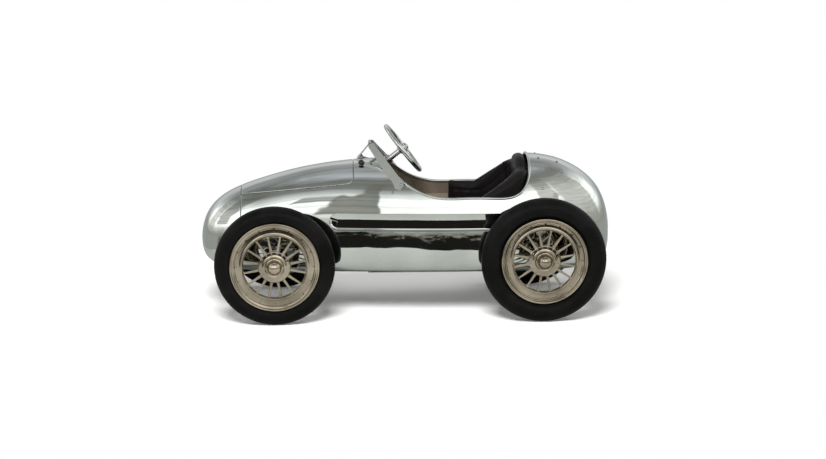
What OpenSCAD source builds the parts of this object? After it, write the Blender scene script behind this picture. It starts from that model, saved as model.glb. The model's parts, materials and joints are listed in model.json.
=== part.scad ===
// Child's pedal racing car: polished steel body on a two-rail frame,
// steered front wheels and a chain-driven rear axle.
// Millimetres. Front of the car towards -X, left side towards -Y, ground at z = 0.

/* [Body] */
// Thickness of the body sheet
skin = 2.5; // [2:0.5:3]
// Depth of the long flute pressed into each side
flute_depth = 9; // [4:1:12]
// Half the width of the cockpit opening
cockpit_half_w = 143; // [136:1:146]

/* [Wheels] */
// Distance of each axle from the middle of the car
axle_x = 367; // [360:1:372]
// Outer radius of the front tyres
front_tyre_r = 164; // [160:1:166]
// Outer radius of the rear tyres
rear_tyre_r = 172; // [168:1:174]
// Windows and rivets round each wheel
spokes = 16; // [12:1:18]

/* [Steering] */
// Angle of the steering column below the horizontal
column_angle = 38; // [37:0.5:39]
// Radius of the steering wheel to the middle of its rim
rim_r = 77; // [70:1:80]

/* [Drive] */
// Radius that the pedals turn on
crank_r = 60; // [50:1:62]
// Chain pitch
pitch = 12.7; // [12.7:0.1:12.7]

/* [Hidden] */
$fn = 48;

CHROME = [0.86, 0.88, 0.87];
NICKEL = [0.80, 0.76, 0.68];
STEEL = [0.55, 0.56, 0.57];
RUBBER = [0.07, 0.07, 0.07];
VINYL = [0.10, 0.09, 0.09];
BARE = [0.45, 0.42, 0.36];

fit = 0.05;          // radial clearance of every running fit
front_r = front_tyre_r;
rear_r = rear_tyre_r;

// ---------------------------------------------------------------- body surface
// Driving sections from nose to tail: x, top, bottom, height of the widest line, half-width.
SECTIONS = [
    [-580, 200, 200, 200, 0],
    [-571, 252, 162, 196, 50],
    [-553, 289, 142, 190, 76],
    [-518, 323, 127, 185, 94],
    [-465, 350, 118, 181, 107],
    [-395, 373, 114, 179, 118],
    [-305, 398, 114, 178, 128],
    [-195, 416, 114, 178, 141],
    [-75, 424, 114, 178, 157],
    [50, 427, 114, 178, 167],
    [170, 430, 114, 178, 170],
    [280, 433, 114, 178, 167],
    [370, 434, 114, 178, 156],
    [440, 418, 114, 178, 139],
    [500, 386, 117, 180, 117],
    [545, 342, 125, 186, 92],
    [568, 287, 145, 197, 58],
    [581, 212, 212, 212, 0]];
last = len(SECTIONS) - 1;
upper_power = 2.3;   // roundness of the section above its widest line
lower_power = 3.5;   // and below it
flute_low = 244;
flute_high = 291;
flute_front = -195;  // middle of the flute's round front end
flute_rear = 245;
flute_mid = (flute_low + flute_high) / 2;
flute_half = (flute_high - flute_low) / 2;

// The section before the first one or after the last one, so that the ends close as round domes.
function ghost(end, near) =
    [near[0], 2 * end[1] - near[1], 2 * end[2] - near[2], 2 * end[3] - near[3], -near[4]];
function section(i) =
    i < 0 ? ghost(SECTIONS[0], SECTIONS[1]) :
    i > last ? ghost(SECTIONS[last], SECTIONS[last - 1]) : SECTIONS[i];
// Uniform cubic B-spline through the driving sections, at parameter s from 0 to last.
function blend4(a, b, c, d, f) =
    (pow(1 - f, 3) * a + (3 * f * f * f - 6 * f * f + 4) * b
        + (-3 * f * f * f + 3 * f * f + 3 * f + 1) * c + f * f * f * d) / 6;
function at(s) =
    let (i = min(floor(s), last - 1))
    blend4(section(i - 1), section(i), section(i + 1), section(i + 2), s - i);
// The parameter at which the spline reaches x.
function s_of(x, lo = 0, hi = last, n = 30) =
    n == 0 ? (lo + hi) / 2 :
    let (m = (lo + hi) / 2)
    at(m)[0] < x ? s_of(x, m, hi, n - 1) : s_of(x, lo, m, n - 1);

// Half-width of a section v at height z, before the flute.
function plain_y(v, z) =
    z >= v[3]
    ? v[4] * pow(max(0, 1 - pow(min(1, (z - v[3]) / (v[1] - v[3])), upper_power)), 1 / upper_power)
    : v[4] * pow(max(0, 1 - pow(min(1, (v[3] - z) / (v[3] - v[2])), lower_power)), 1 / lower_power);
// The flute is a long groove with round ends.
function flute(x, z) =
    let (along = max(flute_front - x, x - flute_rear, 0), q = norm([along, z - flute_mid]) / flute_half)
    flute_depth * max(0, 1 - q * q);
// Height of the top surface at x, y.
function top_z(x, y) =
    let (v = at(s_of(x)))
    v[3] + (v[1] - v[3]) * pow(max(0, 1 - pow(min(1, abs(y) / v[4]), upper_power)), 1 / upper_power);

// A section moved inwards by t.
function inset(v, t) = [v[0] * (1 - t / 577), v[1] - t, v[2] + t, v[3], v[4] - t];
LOW_STEPS = [90, 68, 50, 34, 20, 9];
SIDE_STEPS = [0, 24, 46, 66, 72, 81, 89.5, 98, 107, 113];
UPPER_STEPS = 9;
function half_ring(v, t) =
    let (
        span = v[1] - v[3],
        drop = v[3] - v[2],
        k = min(1, span / 200),
        a0 = asin(pow(113 * k / span, upper_power / 2)),
        heights = concat(
            [for (a = LOW_STEPS) v[3] - drop * pow(sin(a), 2 / lower_power)],
            [for (h = SIDE_STEPS) v[3] + h * k],
            [for (j = [1:UPPER_STEPS])
                v[3] + span * pow(sin(a0 + (90 - a0) * j / UPPER_STEPS), 2 / upper_power)]))
    [for (z = heights) [v[0], max(0, plain_y(v, z) - flute(v[0], z)), z]];
function ring(v, t) =
    let (h = half_ring(v, t), n = len(h))
    concat(h, [for (j = [n - 2:-1:1]) [h[j][0], -h[j][1], h[j][2]]]);

// A closed tube through rings of points, with flat or pointed ends.
module loft(rings) {
    n = len(rings[0]);
    m = len(rings);
    polyhedron(
        points = [for (r = rings) each r],
        faces = concat(
            [[for (j = [0:n - 1]) j]],
            [for (i = [0:m - 2]) for (j = [0:n - 1])
                let (k = (j + 1) % n)
                each [
                    [i * n + j, (i + 1) * n + j, (i + 1) * n + k],
                    [i * n + j, (i + 1) * n + k, i * n + k]]],
            [[for (j = [n - 1:-1:0]) (m - 1) * n + j]]),
        convexity = 8);
}
module body_solid(t, end, step) {
    loft([for (s = [end:step:last - end + 0.001]) ring(inset(at(s), t), t)]);
}

// Outline of the cockpit opening in plan: rounded in front and squarer behind.
cockpit_x = 150;
cockpit_front = 212;
cockpit_rear = 190;
front_power = 2.7;
rear_power = 6;
function opening(a, half_w = cockpit_half_w, shrink = 0) =
    let (
        p = cos(a) > 0 ? rear_power : front_power,
        l = (cos(a) > 0 ? cockpit_rear : cockpit_front) - shrink,
        r = pow(pow(abs(cos(a)) / l, p) + pow(abs(sin(a)) / (half_w - shrink), p), -1 / p))
    [cockpit_x + r * cos(a), r * sin(a)];

bonnet_rear = -150;
nose_seam = -463;
module seam_profile(gap) {
    // side view of the bonnet panel: x, z
    corner = 16;
    rotate([90, 0, 0])
        linear_extrude(400, center = true)
            polygon(concat(
                [[nose_seam + gap, 600], [nose_seam + gap, 334 + gap]],
                [for (a = [0:15:90])
                    [bonnet_rear - gap - corner + corner * sin(a), 367 + corner + gap - corner * cos(a)]],
                [[bonnet_rear - gap, 600]]));
}
module cockpit_cut() {
    translate([0, 0, 250])
        linear_extrude(300)
            polygon([for (a = [2:4:358]) opening(a)]);
}
// Openings for the axles, the track rod and the feet.
module running_gear_cuts() {
    for (side = [-1, 1]) {
        translate([-352, side * 130, 163])
            cube([96, 120, 58], center = true);
        translate([axle_x, side * 150, rear_r])
            rotate([90, 0, 0])
                cylinder(h = 80, r = 15, center = true);
    }
    translate([45, 0, 110])
        cube([710, 160, 24], center = true);
}
// Room for the column's bush where it passes the front edge of the cockpit.
module bush_notch() {
    on_column(30)
        cylinder(h = 70, r = bush_r + 0.6);
}
module whole_shell() {
    difference() {
        body_solid(0, 0.12, 0.5);
        body_solid(skin, 0.42, 0.5);
        cockpit_cut();
        running_gear_cuts();
    }
}
module body_shell() {
    color(CHROME)
        difference() {
            whole_shell();
            bush_notch();
            seam_profile(0);
            translate([nose_seam - 200, 0, 250])
                cube([400, 400, 500], center = true);
        }
}
module bonnet_panel() {
    color(CHROME)
        intersection() {
            whole_shell();
            seam_profile(0.5);
        }
}
module nose_cowl() {
    color(CHROME)
        intersection() {
            whole_shell();
            translate([nose_seam - 200.5, 0, 250])
                cube([400, 400, 500], center = true);
        }
}
module belly_pan() {
    color(STEEL)
        difference() {
            translate([150, 0, 112.6])
                cube([520, 176, 2], center = true);
            for (x = [-95, 150, 395], y = [-80, 80])
                translate([x, y, 112])
                    cylinder(h = 6, r = 2.5, center = true);
        }
}
// Rolled wire round the cockpit edge, following the body surface.
module cockpit_rim() {
    r = 3.6;
    path = [for (a = [3:6:357]) let (p = opening(a)) [p[0], p[1], top_z(p[0], p[1])]];
    n = len(path);
    color(CHROME)
        difference() {
            polyhedron(
                points = [for (i = [0:n - 1])
                    let (
                        d = path[(i + 1) % n] - path[(i + n - 1) % n],
                        t = d / norm(d),
                        side = cross(t, [0, 0, 1]) / norm(cross(t, [0, 0, 1])),
                        up = cross(side, t))
                    for (b = [0:45:315]) path[i] + r * (side * cos(b) + up * sin(b))],
                faces = [for (i = [0:n - 1]) for (j = [0:7])
                    let (k = (j + 1) % 8, w = (i + 1) % n)
                    each [[i * 8 + j, i * 8 + k, w * 8 + k], [i * 8 + j, w * 8 + k, w * 8 + j]]],
                convexity = 8);
            bush_notch();
        }
}

// ---------------------------------------------------------------- steering
hub = [-9, 0, 451];                                   // centre of the steering wheel
function along(t) = hub + t * [-cos(column_angle), 0, -sin(column_angle)];
module on_column(t) {
    translate(along(t))
        rotate([0, -90 - column_angle, 0])
            children();
}
column_r = 8;
bush_r = 12;
column_l = 410;
arm_l = 38;                                           // column crank and knuckle arms alike
pin_r = 3.5;
kingpin_y = 150;
rod_z = 152;
rod_x = -axle_x + arm_l;

module dash_panel() {
    x = -73;
    v = inset(at(s_of(x)), skin + 0.4);
    heights = [352, 365, 378, 390, 400, 408, 414, 418];
    color(BARE)
        difference() {
            translate([x, 0, 0])
                rotate([90, 0, 90])
                    linear_extrude(2)
                        polygon(concat(
                            [for (z = heights) [plain_y(v, z), z]],
                            [[0, v[1]]],
                            [for (i = [len(heights) - 1:-1:0]) [-plain_y(v, heights[i]), heights[i]]]));
            on_column(81)
                cylinder(h = 60, r = bush_r + 0.4, center = true);
        }
}
module column_bush() {
    color(STEEL)
        difference() {
            union() {
                on_column(44)
                    cylinder(h = 40, r = bush_r);
                translate([-69, 0, 402])
                    cube([4, 46, 34], center = true);
            }
            on_column(40)
                cylinder(h = 60, r = column_r + fit);
            translate([-79, 0, 402])
                cube([16, 60, 60], center = true);
        }
}
module steering_column() {
    color(CHROME) {
        on_column(6)
            cylinder(h = column_l - 6, r = column_r);
        on_column(column_l - 4)
            linear_extrude(8) {
                circle(11);
                translate([-arm_l, 0])
                    circle(8);
                translate([-arm_l / 2, 0])
                    square([arm_l, 15], center = true);
            }
        on_column(column_l)
            translate([-arm_l, 0, 0])
                cylinder(h = 34, r = pin_r);
    }
}
module steering_wheel() {
    color(CHROME)
        on_column(0)
            difference() {
                union() {
                    rotate_extrude()
                        translate([rim_r, 0])
                            circle(6.2, $fn = 32);
                    translate([0, 0, -7])
                        cylinder(h = 20, r = 15);
                    for (a = [90, 180, 270])
                        rotate([0, 0, a])
                            translate([rim_r / 2 + 4, 0, 0])
                                cube([rim_r - 8, 9, 3], center = true);
                }
                translate([0, 0, 4])
                    cylinder(h = 20, r = column_r);
            }
}
module steering_nut() {
    color(CHROME)
        on_column(-7)
            mirror([0, 0, 1])
                rotate_extrude()
                    polygon([[0, 0], [11, 0], [11, 3], [9, 6], [5, 8], [0, 8.6]]);
}

module front_axle_beam() {
    color(STEEL)
        difference() {
            union() {
                translate([-axle_x, 0, front_r])
                    rotate([90, 0, 0])
                        cylinder(h = 2 * kingpin_y, r = 11, center = true);
                for (side = [-1, 1]) {
                    translate([-axle_x, side * kingpin_y, front_r])
                        cylinder(h = 36, r = 12, center = true);
                    translate([-axle_x, side * 84, 155])
                        cube([30, 20, 14], center = true);
                }
            }
            for (side = [-1, 1])
                translate([-axle_x, side * kingpin_y, front_r])
                    cylinder(h = 50, r = 6 + fit, center = true);
        }
}
// Right-hand knuckle; the left one mirrors it.
module knuckle() {
    color(STEEL)
        difference() {
            union() {
                for (z = [front_r - 24.4, front_r + 18.4])
                    translate([-axle_x, kingpin_y, z])
                        linear_extrude(6) {
                            circle(12);
                            translate([0, 10])
                                square([24, 20], center = true);
                        }
                translate([-axle_x, kingpin_y + 17, front_r])
                    cube([24, 6, 48.8], center = true);
                translate([-axle_x, kingpin_y + 18, front_r])
                    rotate([-90, 0, 0])
                        cylinder(h = 6, r = 13);
                translate([-axle_x, kingpin_y + 18, front_r])
                    rotate([-90, 0, 0])
                        cylinder(h = 70, r = 8);
                translate([0, 0, rod_z + 3.4]) {
                    translate([rod_x, kingpin_y, 0])
                        cylinder(h = 6, r = 8);
                    arm_bar([-354, kingpin_y + 18], [rod_x, kingpin_y], 14, 6);
                }
                translate([rod_x, kingpin_y, rod_z - 6])
                    cylinder(h = 12, r = 4);
                translate([rod_x, kingpin_y, rod_z - 6])
                    cylinder(h = 4, r = 6);
            }
            translate([-axle_x, kingpin_y, front_r])
                cylinder(h = 60, r = 6, center = true);
        }
}
module arm_bar(a, b, w, h) {
    d = b - a;
    translate([a[0], a[1], 0])
        rotate([0, 0, atan2(d[1], d[0])])
            translate([0, -w / 2, 0])
                cube([norm(d), w, h]);
}
module kingpin() {
    color(STEEL)
        translate([-axle_x, kingpin_y, front_r]) {
            cylinder(h = 50, r = 6, center = true);
            translate([0, 0, 24.4])
                cylinder(h = 4, r = 9);
            translate([0, 0, -30.4])
                cylinder(h = 6, r = 10, $fn = 6);
        }
}
// Flat rod between the two steering arms, with an oval hole for the column's crank pin.
module track_rod() {
    slot_x = 10;
    slot_y = 4.3;
    color(STEEL)
        translate([rod_x, 0, rod_z])
            difference() {
                union() {
                    translate([0, 0, 1.5])
                        cube([16, 2 * kingpin_y, 3], center = true);
                    for (side = [-1, 1])
                        translate([0, side * kingpin_y, 0])
                            cylinder(h = 3, r = 8);
                    translate([1, 0, 1.5])
                        cube([34, 34, 3], center = true);
                }
                for (side = [-1, 1])
                    translate([0, side * kingpin_y, -1])
                        cylinder(h = 5, r = 4 + fit);
                translate([0.4, 0, 1])
                    cube([2 * (slot_x - slot_y), 2 * slot_y, 6], center = true);
                for (end = [-1, 1])
                    translate([0.4 + end * (slot_x - slot_y), 0, -1])
                        cylinder(h = 5, r = slot_y);
            }
}

// ---------------------------------------------------------------- windscreen stays
// Each stay is a flat plate through three points: its apex, its rear foot and its front knob.
STAY_TOP = [-100, -30, 465];
STAY_FOOT = [-24, -119, 364];
STAY_KNOB = [-126, -46, 417];
stay_t = 2.4;
module stay_plane() {
    e1 = (STAY_TOP - STAY_FOOT) / norm(STAY_TOP - STAY_FOOT);
    w = cross(STAY_KNOB - STAY_FOOT, e1);
    e3 = w / norm(w);
    e2 = cross(e3, e1);
    translate(STAY_FOOT)
        multmatrix([
            [e1[0], e2[0], e3[0], 0],
            [e1[1], e2[1], e3[1], 0],
            [e1[2], e2[2], e3[2], 0],
            [0, 0, 0, 1]])
            children();
}
stay_l = norm(STAY_TOP - STAY_FOOT);
stay_knob_u = (STAY_KNOB - STAY_FOOT) * (STAY_TOP - STAY_FOOT) / stay_l;
stay_knob_v = sqrt(pow(norm(STAY_KNOB - STAY_FOOT), 2) - pow(stay_knob_u, 2));
module flat_bar(a, b, w) {
    d = b - a;
    translate(a)
        circle(w / 2);
    translate(b)
        circle(w / 2);
    translate((a + b) / 2)
        rotate(atan2(d[1], d[0]))
            square([norm(d), w], center = true);
}
// A flat bar that is w0 wide at a and w1 wide at b.
module tapered_bar(a, b, w0, w1) {
    d = (b - a) / norm(b - a);
    across = [-d[1], d[0]];
    translate(a)
        circle(w0 / 2);
    translate(b)
        circle(w1 / 2);
    h0 = 0.48 * w0;
    h1 = 0.48 * w1;
    polygon([a - across * h0, b - across * h1, b + across * h1, a + across * h0]);
}
module stay() {
    color(CHROME)
        stay_plane()
            mirror([0, 0, 1])
                linear_extrude(stay_t) {
                    tapered_bar([5, 0], [stay_l - 6, 0], 29, 19);
                    tapered_bar([17, -7], [stay_knob_u, -stay_knob_v], 30, 13);
                }
}
// Cross tube that joins the two stays, and the thin rod from it down to the cowl.
module stay_strut() {
    top = [-102, 0, 467];
    foot = [-139, 0, 422];
    d = foot - top;
    color(CHROME) {
        translate(top)
            rotate([90, 0, 0])
                cylinder(h = 60, r = 4, center = true);
        translate(top)
            rotate([0, atan2(d[0], d[2]), 0])
                cylinder(h = norm(d), r = 2.4);
    }
}
module stay_knobs() {
    color(RUBBER)
        for (side = [0, 1])
            mirror([0, side, 0])
                stay_plane()
                    translate([stay_knob_u, -stay_knob_v, -stay_t])
                        mirror([0, 0, 1])
                            rotate_extrude()
                                polygon([[0, 0], [7.5, 0], [8, 4], [6.5, 7], [3.5, 8.5], [0, 8.8]]);
}
// Domed screw heads on the body skin: x, y and tilt of each, on both sides. One more holds each stay.
SCREWS = [[-43, 125, 52], [373, 120, 46], [369, 40, 12], [421, 42, 18]];
module screw_head() {
    rotate_extrude($fn = 24)
        polygon([[0, 0], [4.2, 0], [3.6, 1.6], [2, 2.6], [0, 2.9]]);
}
module body_screws() {
    color(STEEL)
        for (side = [0, 1])
            mirror([0, side, 0]) {
                for (p = SCREWS)
                    translate([p[0], -p[1], top_z(p[0], p[1]) + 0.2])
                        rotate([p[2], 0, 0])
                            screw_head();
                stay_plane()
                    translate([1, 5, -stay_t - 0.05])
                        mirror([0, 0, 1])
                            screw_head();
            }
}

// ---------------------------------------------------------------- frame
rail_y = 84;
rail_z = 138;
rail_top = rail_z + 10;
module frame_rail(side) {
    color(STEEL)
        translate([15, side * rail_y, rail_z])
            difference() {
                cube([820, 20, 20], center = true);
                cube([830, 16, 16], center = true);
            }
}
module cross_member(x) {
    color(STEEL)
        translate([x, 0, rail_z - 4])
            cube([16, 2 * rail_y - 20, 12], center = true);
}

// ---------------------------------------------------------------- chain drive
teeth = 18;
run_links = 45;
crank_z = 200;
centre_l = run_links * pitch;
crank_x = axle_x - sqrt(centre_l * centre_l - pow(crank_z - rear_r, 2));
drop_angle = asin((crank_z - rear_r) / centre_l);
pitch_r = pitch / (2 * sin(180 / teeth));
roller_r = 3.9;
plate_half = 4;
module at_crank() {
    translate([crank_x, 0, crank_z])
        children();
}
// Frame with +X from the crank to the rear axle.
module chain_line() {
    at_crank()
        rotate([0, drop_angle, 0])
            rotate([90, 0, 0])
                children();
}
module sprocket(bore) {
    root = pitch_r - roller_r - 0.3;
    color(STEEL)
        difference() {
            union() {
                linear_extrude(3.6, center = true)
                    polygon([for (k = [0:teeth - 1])
                        let (a = (k + 0.5) * 360 / teeth)
                        each [
                            [root * cos(a - 6.4), root * sin(a - 6.4)],
                            [pitch_r * cos(a - 3.3), pitch_r * sin(a - 3.3)],
                            [(pitch_r + 3.4) * cos(a - 1.4), (pitch_r + 3.4) * sin(a - 1.4)],
                            [(pitch_r + 3.4) * cos(a + 1.4), (pitch_r + 3.4) * sin(a + 1.4)],
                            [pitch_r * cos(a + 3.3), pitch_r * sin(a + 3.3)],
                            [root * cos(a + 6.4), root * sin(a + 6.4)]]]);
                cylinder(h = 16, r = 13, center = true);
            }
            cylinder(h = 30, r = bore, center = true);
            for (a = [0:60:300])
                rotate(a)
                    translate([22, 0, 0])
                        cylinder(h = 10, r = 5, center = true);
        }
}
module front_sprocket() {
    chain_line()
        rotate(90)
            sprocket(8);
}
module rear_sprocket() {
    chain_line()
        translate([centre_l, 0, 0])
            rotate(90)
                sprocket(8);
}
function on_sprocket(x, a) = [x + pitch_r * cos(a), pitch_r * sin(a)];
// Pitch points of the closed chain: top run, rear wrap, lower run, front wrap.
LINKS = concat(
    [for (k = [0:run_links - 1]) [k * pitch, pitch_r]],
    [for (k = [0:teeth / 2 - 1]) on_sprocket(centre_l, 90 - k * 360 / teeth)],
    [for (k = [0:run_links - 1]) [centre_l - k * pitch, -pitch_r]],
    [for (k = [0:teeth / 2 - 1]) on_sprocket(0, 270 - k * 360 / teeth)]);
module chain_band(r) {
    translate([0, -r])
        square([centre_l, 2 * r]);
    circle(r, $fn = 90);
    translate([centre_l, 0])
        circle(r, $fn = 90);
}
module chain() {
    color(STEEL)
        chain_line() {
            for (side = [-1, 1])
                translate([0, 0, side * 2.8])
                    linear_extrude(1.2, center = true)
                        difference() {
                            chain_band(pitch_r + plate_half);
                            chain_band(pitch_r - plate_half);
                        }
            for (p = LINKS)
                translate([p[0], p[1], 0])
                    cylinder(h = 4.6, r = roller_r - 0.2, $fn = 24, center = true);
        }
}
module chain_guard() {
    color(STEEL) {
        chain_line()
            difference() {
                translate([180, pitch_r + 2, 0])
                    cube([190, 24, 22], center = true);
                translate([180, pitch_r, 0])
                    cube([200, 24, 18], center = true);
            }
        for (side = [-1, 1])
            translate([60, side * 10, 183])
                cube([14, 1.6, 86], center = true);
    }
}
module crank_hanger(side) {
    color(STEEL)
        difference() {
            union() {
                translate([crank_x, side * rail_y, (rail_top + crank_z) / 2])
                    cube([28, 20, crank_z - rail_top], center = true);
                translate([crank_x, side * rail_y, crank_z])
                    rotate([90, 0, 0])
                        cylinder(h = 20, r = 14, center = true);
            }
            translate([crank_x, side * rail_y, crank_z])
                rotate([90, 0, 0])
                    cylinder(h = 30, r = 8 + fit, center = true);
        }
}
web_t = 7;
web_in = 13;
web_out = 66.5;
module crankshaft() {
    color(STEEL)
        at_crank() {
            rotate([90, 0, 0])
                cylinder(h = 2 * web_in + 2, r = 8, center = true);
            for (side = [-1, 1]) {
                translate([0, side * (web_out + 15.5), 0])
                    rotate([90, 0, 0])
                        cylinder(h = 31, r = 8, center = true);
                translate([-side * crank_r, side * (web_in + web_out + web_t) / 2, 0])
                    rotate([90, 0, 0])
                        cylinder(h = web_out + web_t - web_in, r = 7, center = true);
                for (y = [web_in, web_out])
                    translate([0, side * (y + web_t / 2), 0])
                        rotate([90, 0, 0])
                            linear_extrude(web_t, center = true)
                                flat_bar([0, 0], [-side * crank_r, 0], 22);
            }
        }
}
module pedal(side) {
    w = web_out - web_in - web_t - 0.8;
    color(RUBBER)
        at_crank()
            translate([-side * crank_r, side * (web_in + web_out + web_t) / 2, 0])
                difference() {
                    union() {
                        cube([68, w, 14], center = true);
                        rotate([90, 0, 0])
                            cylinder(h = w, r = 12, center = true);
                    }
                    rotate([90, 0, 0])
                        cylinder(h = w + 2, r = 7 + fit, center = true);
                }
}
module rear_axle() {
    color(STEEL)
        translate([axle_x, 0, rear_r]) {
            rotate([90, 0, 0])
                cylinder(h = 2 * 238, r = 8, center = true);
            for (side = [-1, 1])
                translate([0, side * 99, 0])
                    rotate([90, 0, 0])
                        cylinder(h = 8, r = 13, center = true);
        }
}
module axle_bearing(side) {
    color(STEEL)
        translate([axle_x, side * rail_y, 0])
            difference() {
                union() {
                    translate([0, 0, (rail_top + rear_r) / 2])
                        cube([28, 20, rear_r - rail_top], center = true);
                    translate([0, 0, rear_r])
                        rotate([90, 0, 0])
                            cylinder(h = 20, r = 14, center = true);
                }
                translate([0, 0, rear_r])
                    rotate([90, 0, 0])
                        cylinder(h = 30, r = 8 + fit, center = true);
            }
}

// ---------------------------------------------------------------- seat
pan_z = 244;
module seat_pan() {
    color(BARE)
        translate([215, 0, 0])
            difference() {
                translate([0, 0, (rail_top + pan_z + 3) / 2])
                    cube([240, 2 * rail_y, pan_z + 3 - rail_top], center = true);
                translate([0, 0, (rail_top + pan_z) / 2 - 1])
                    cube([260, 2 * rail_y - 5, pan_z + 2 - rail_top], center = true);
            }
}
module seat_cushion() {
    half = [96, 104, 21];
    color(VINYL)
        translate([204, 0, pan_z + 3 + half[2] + 0.1])
            loft([for (e = [-80:20:80])
                let (k = pow(cos(e), 0.35), z = half[2] * sign(sin(e)) * pow(abs(sin(e)), 0.6))
                [for (a = [0:10:350])
                    [half[0] * k * sign(cos(a)) * pow(abs(cos(a)), 0.45),
                        half[1] * k * sign(sin(a)) * pow(abs(sin(a)), 0.45), z]]]);
}
// Padded wrap-round back. Its sides rise in a straight line towards the rear of the cockpit.
bolster_x = 215;
bolster_z = 340;
bolster_rise = 0.56;
module seat_back() {
    gap = 6;
    color(VINYL)
        loft([for (a = [-100:5:100])
            let (
                t = 14 + 18 * max(0, cos(a)),
                o = opening(a, shrink = gap),
                m = opening(a, shrink = gap + t / 2),
                i = opening(a, shrink = gap + t),
                e = opening(a),
                z = max(top_z(e[0], e[1]) + 4, bolster_z + bolster_rise * (e[0] - bolster_x)))
            [
                [o[0], o[1], 252], [o[0], o[1], z - 7], [(o[0] + m[0]) / 2, (o[1] + m[1]) / 2, z],
                [(i[0] + m[0]) / 2, (i[1] + m[1]) / 2, z - 2], [i[0], i[1], z - 12], [i[0], i[1], 252]]]);
}

// ---------------------------------------------------------------- wheels
wheel_y = 210;
front_rim_r = 122;
rear_rim_r = 119;
window_in = 49;
window_out = 83.5;
module wheel_at(x, r, side) {
    mirror([0, side < 0 ? 1 : 0, 0])
        translate([x, wheel_y, r])
            rotate([-90, 0, 0])
                children();
}
// Section of the pressed disc from the rim to the hub: radius, distance outboard.
function disc_line(rim) =
    [[rim - 4, 22.5], [rim - 12, 20], [90, 18.5], [86, 16], [44, 14], [40, 17], [28, 18.5], [14, 18.5]];
module wheel(rim, bed, bore) {
    line = disc_line(rim);
    n = len(line);
    half = 180 / spokes;
    color(NICKEL)
        difference() {
            union() {
                rotate_extrude($fn = 96) {
                    polygon(concat(
                        [for (p = line) [p[0], p[1] + 1]],
                        [for (i = [n - 1:-1:0]) [line[i][0], line[i][1] - 1]]));
                    translate([bed - 2.5, -22])
                        square([2.1, 44]);
                    for (side = [-1, 1]) {
                        translate([bed - 2.5, side * 21 - 1])
                            square([rim - bed - 0.5, 2]);
                        translate([rim - 3, side * 22.6])
                            circle(3);
                    }
                }
                translate([0, 0, -35.6])
                    cylinder(h = 54.6, r = 14.5);
            }
            translate([0, 0, -40])
                cylinder(h = 80, r = bore);
            for (k = [0:spokes - 1])
                rotate(90 + 360 / spokes * k)
                    translate([0, 0, 5]) {
                        linear_extrude(20)
                            polygon(concat(
                                [[window_in, -5.6]],
                                [for (a = [-half + 2.1:1.8:half - 2]) window_out * [cos(a), sin(a)]],
                                [[window_in, 5.6]]));
                        translate([window_in, 0, 0])
                            cylinder(h = 20, r = 5.6, $fn = 24);
                    }
        }
}
module rivets(rim) {
    color(NICKEL)
        for (k = [0:spokes - 1])
            rotate(90 + 360 / spokes * k) {
                translate([(rim + 86) / 2, 0, 17.4])
                    cylinder(h = 4.2, r = 2.6, $fn = 20);
                rotate(180 / spokes)
                    translate([38.5, 0, 16.8])
                        cylinder(h = 2.8, r = 2.2, $fn = 20);
            }
}
module tyre(r, section, rim, bed) {
    color(RUBBER)
        difference() {
            union() {
                rotate_extrude($fn = 96)
                    translate([r - section, 0])
                        circle(section);
                cylinder(h = 39.2, r = rim + 4, center = true);
            }
            cylinder(h = 80, r = bed, center = true);
        }
}
module hub_cap() {
    color(CHROME)
        translate([0, 0, 19.6])
            difference() {
                rotate_extrude()
                    polygon(concat(
                        [[0, 0], [24, 0], [24, 2.4], [20.5, 3.2]],
                        [for (a = [10:10:90]) [20.5 * cos(a), 3.2 + 17.2 * sin(a)]]));
                translate([0, 0, -1])
                    cylinder(h = 11, r = 16);
            }
}
module axle_nut() {
    color(STEEL)
        translate([0, 0, 20])
            difference() {
                cylinder(h = 7, r = 13, $fn = 6);
                translate([0, 0, -1])
                    cylinder(h = 9, r = 8);
            }
}
// The two sizes of wheel and tyre. The tyre's bed is where its bore sits on the rim.
front_section = 26;
rear_section = 29;
front_bed = front_r - 2 * front_section;
rear_bed = rear_r - 2 * rear_section;
axle_bore = 8;
module front(side) {
    wheel_at(-axle_x, front_r, side)
        children();
}
module rear(side) {
    wheel_at(axle_x, rear_r, side)
        children();
}
module front_wheel() {
    wheel(front_rim_r, front_bed, axle_bore + fit);
}
module front_tyre() {
    tyre(front_r, front_section, front_rim_r, front_bed);
}
module rear_wheel(bore) {
    wheel(rear_rim_r, rear_bed, bore);
}
module rear_tyre() {
    tyre(rear_r, rear_section, rear_rim_r, rear_bed);
}

body_shell();
bonnet_panel();
nose_cowl();
belly_pan();
cockpit_rim();
dash_panel();
stay();  // stay_left
mirror([0, 1, 0]) stay();  // stay_right
stay_strut();
stay_knobs();
body_screws();
frame_rail(-1);  // frame_rail_left
frame_rail(1);  // frame_rail_right
cross_member(-384);  // cross_member_front
cross_member(60);  // cross_member_middle
cross_member(415);  // cross_member_rear
front_axle_beam();
mirror([0, 1, 0]) knuckle();  // knuckle_left
knuckle();  // knuckle_right
mirror([0, 1, 0]) kingpin();  // kingpin_left
kingpin();  // kingpin_right
track_rod();
column_bush();
steering_column();
steering_wheel();
steering_nut();
crank_hanger(-1);  // crank_hanger_left
crank_hanger(1);  // crank_hanger_right
crankshaft();
front_sprocket();
pedal(-1);  // pedal_left
pedal(1);  // pedal_right
chain();
chain_guard();
rear_axle();
rear_sprocket();
axle_bearing(-1);  // axle_bearing_left
axle_bearing(1);  // axle_bearing_right
seat_pan();
seat_cushion();
seat_back();
front(-1) front_wheel();  // wheel_front_left
front(-1) front_tyre();  // tyre_front_left
front(-1) hub_cap();  // hub_cap_front_left
front(-1) rivets(front_rim_r);  // rivets_front_left
front(1) front_wheel();  // wheel_front_right
front(1) front_tyre();  // tyre_front_right
front(1) hub_cap();  // hub_cap_front_right
front(1) rivets(front_rim_r);  // rivets_front_right
rear(-1) rear_wheel(axle_bore);  // wheel_rear_left
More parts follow.
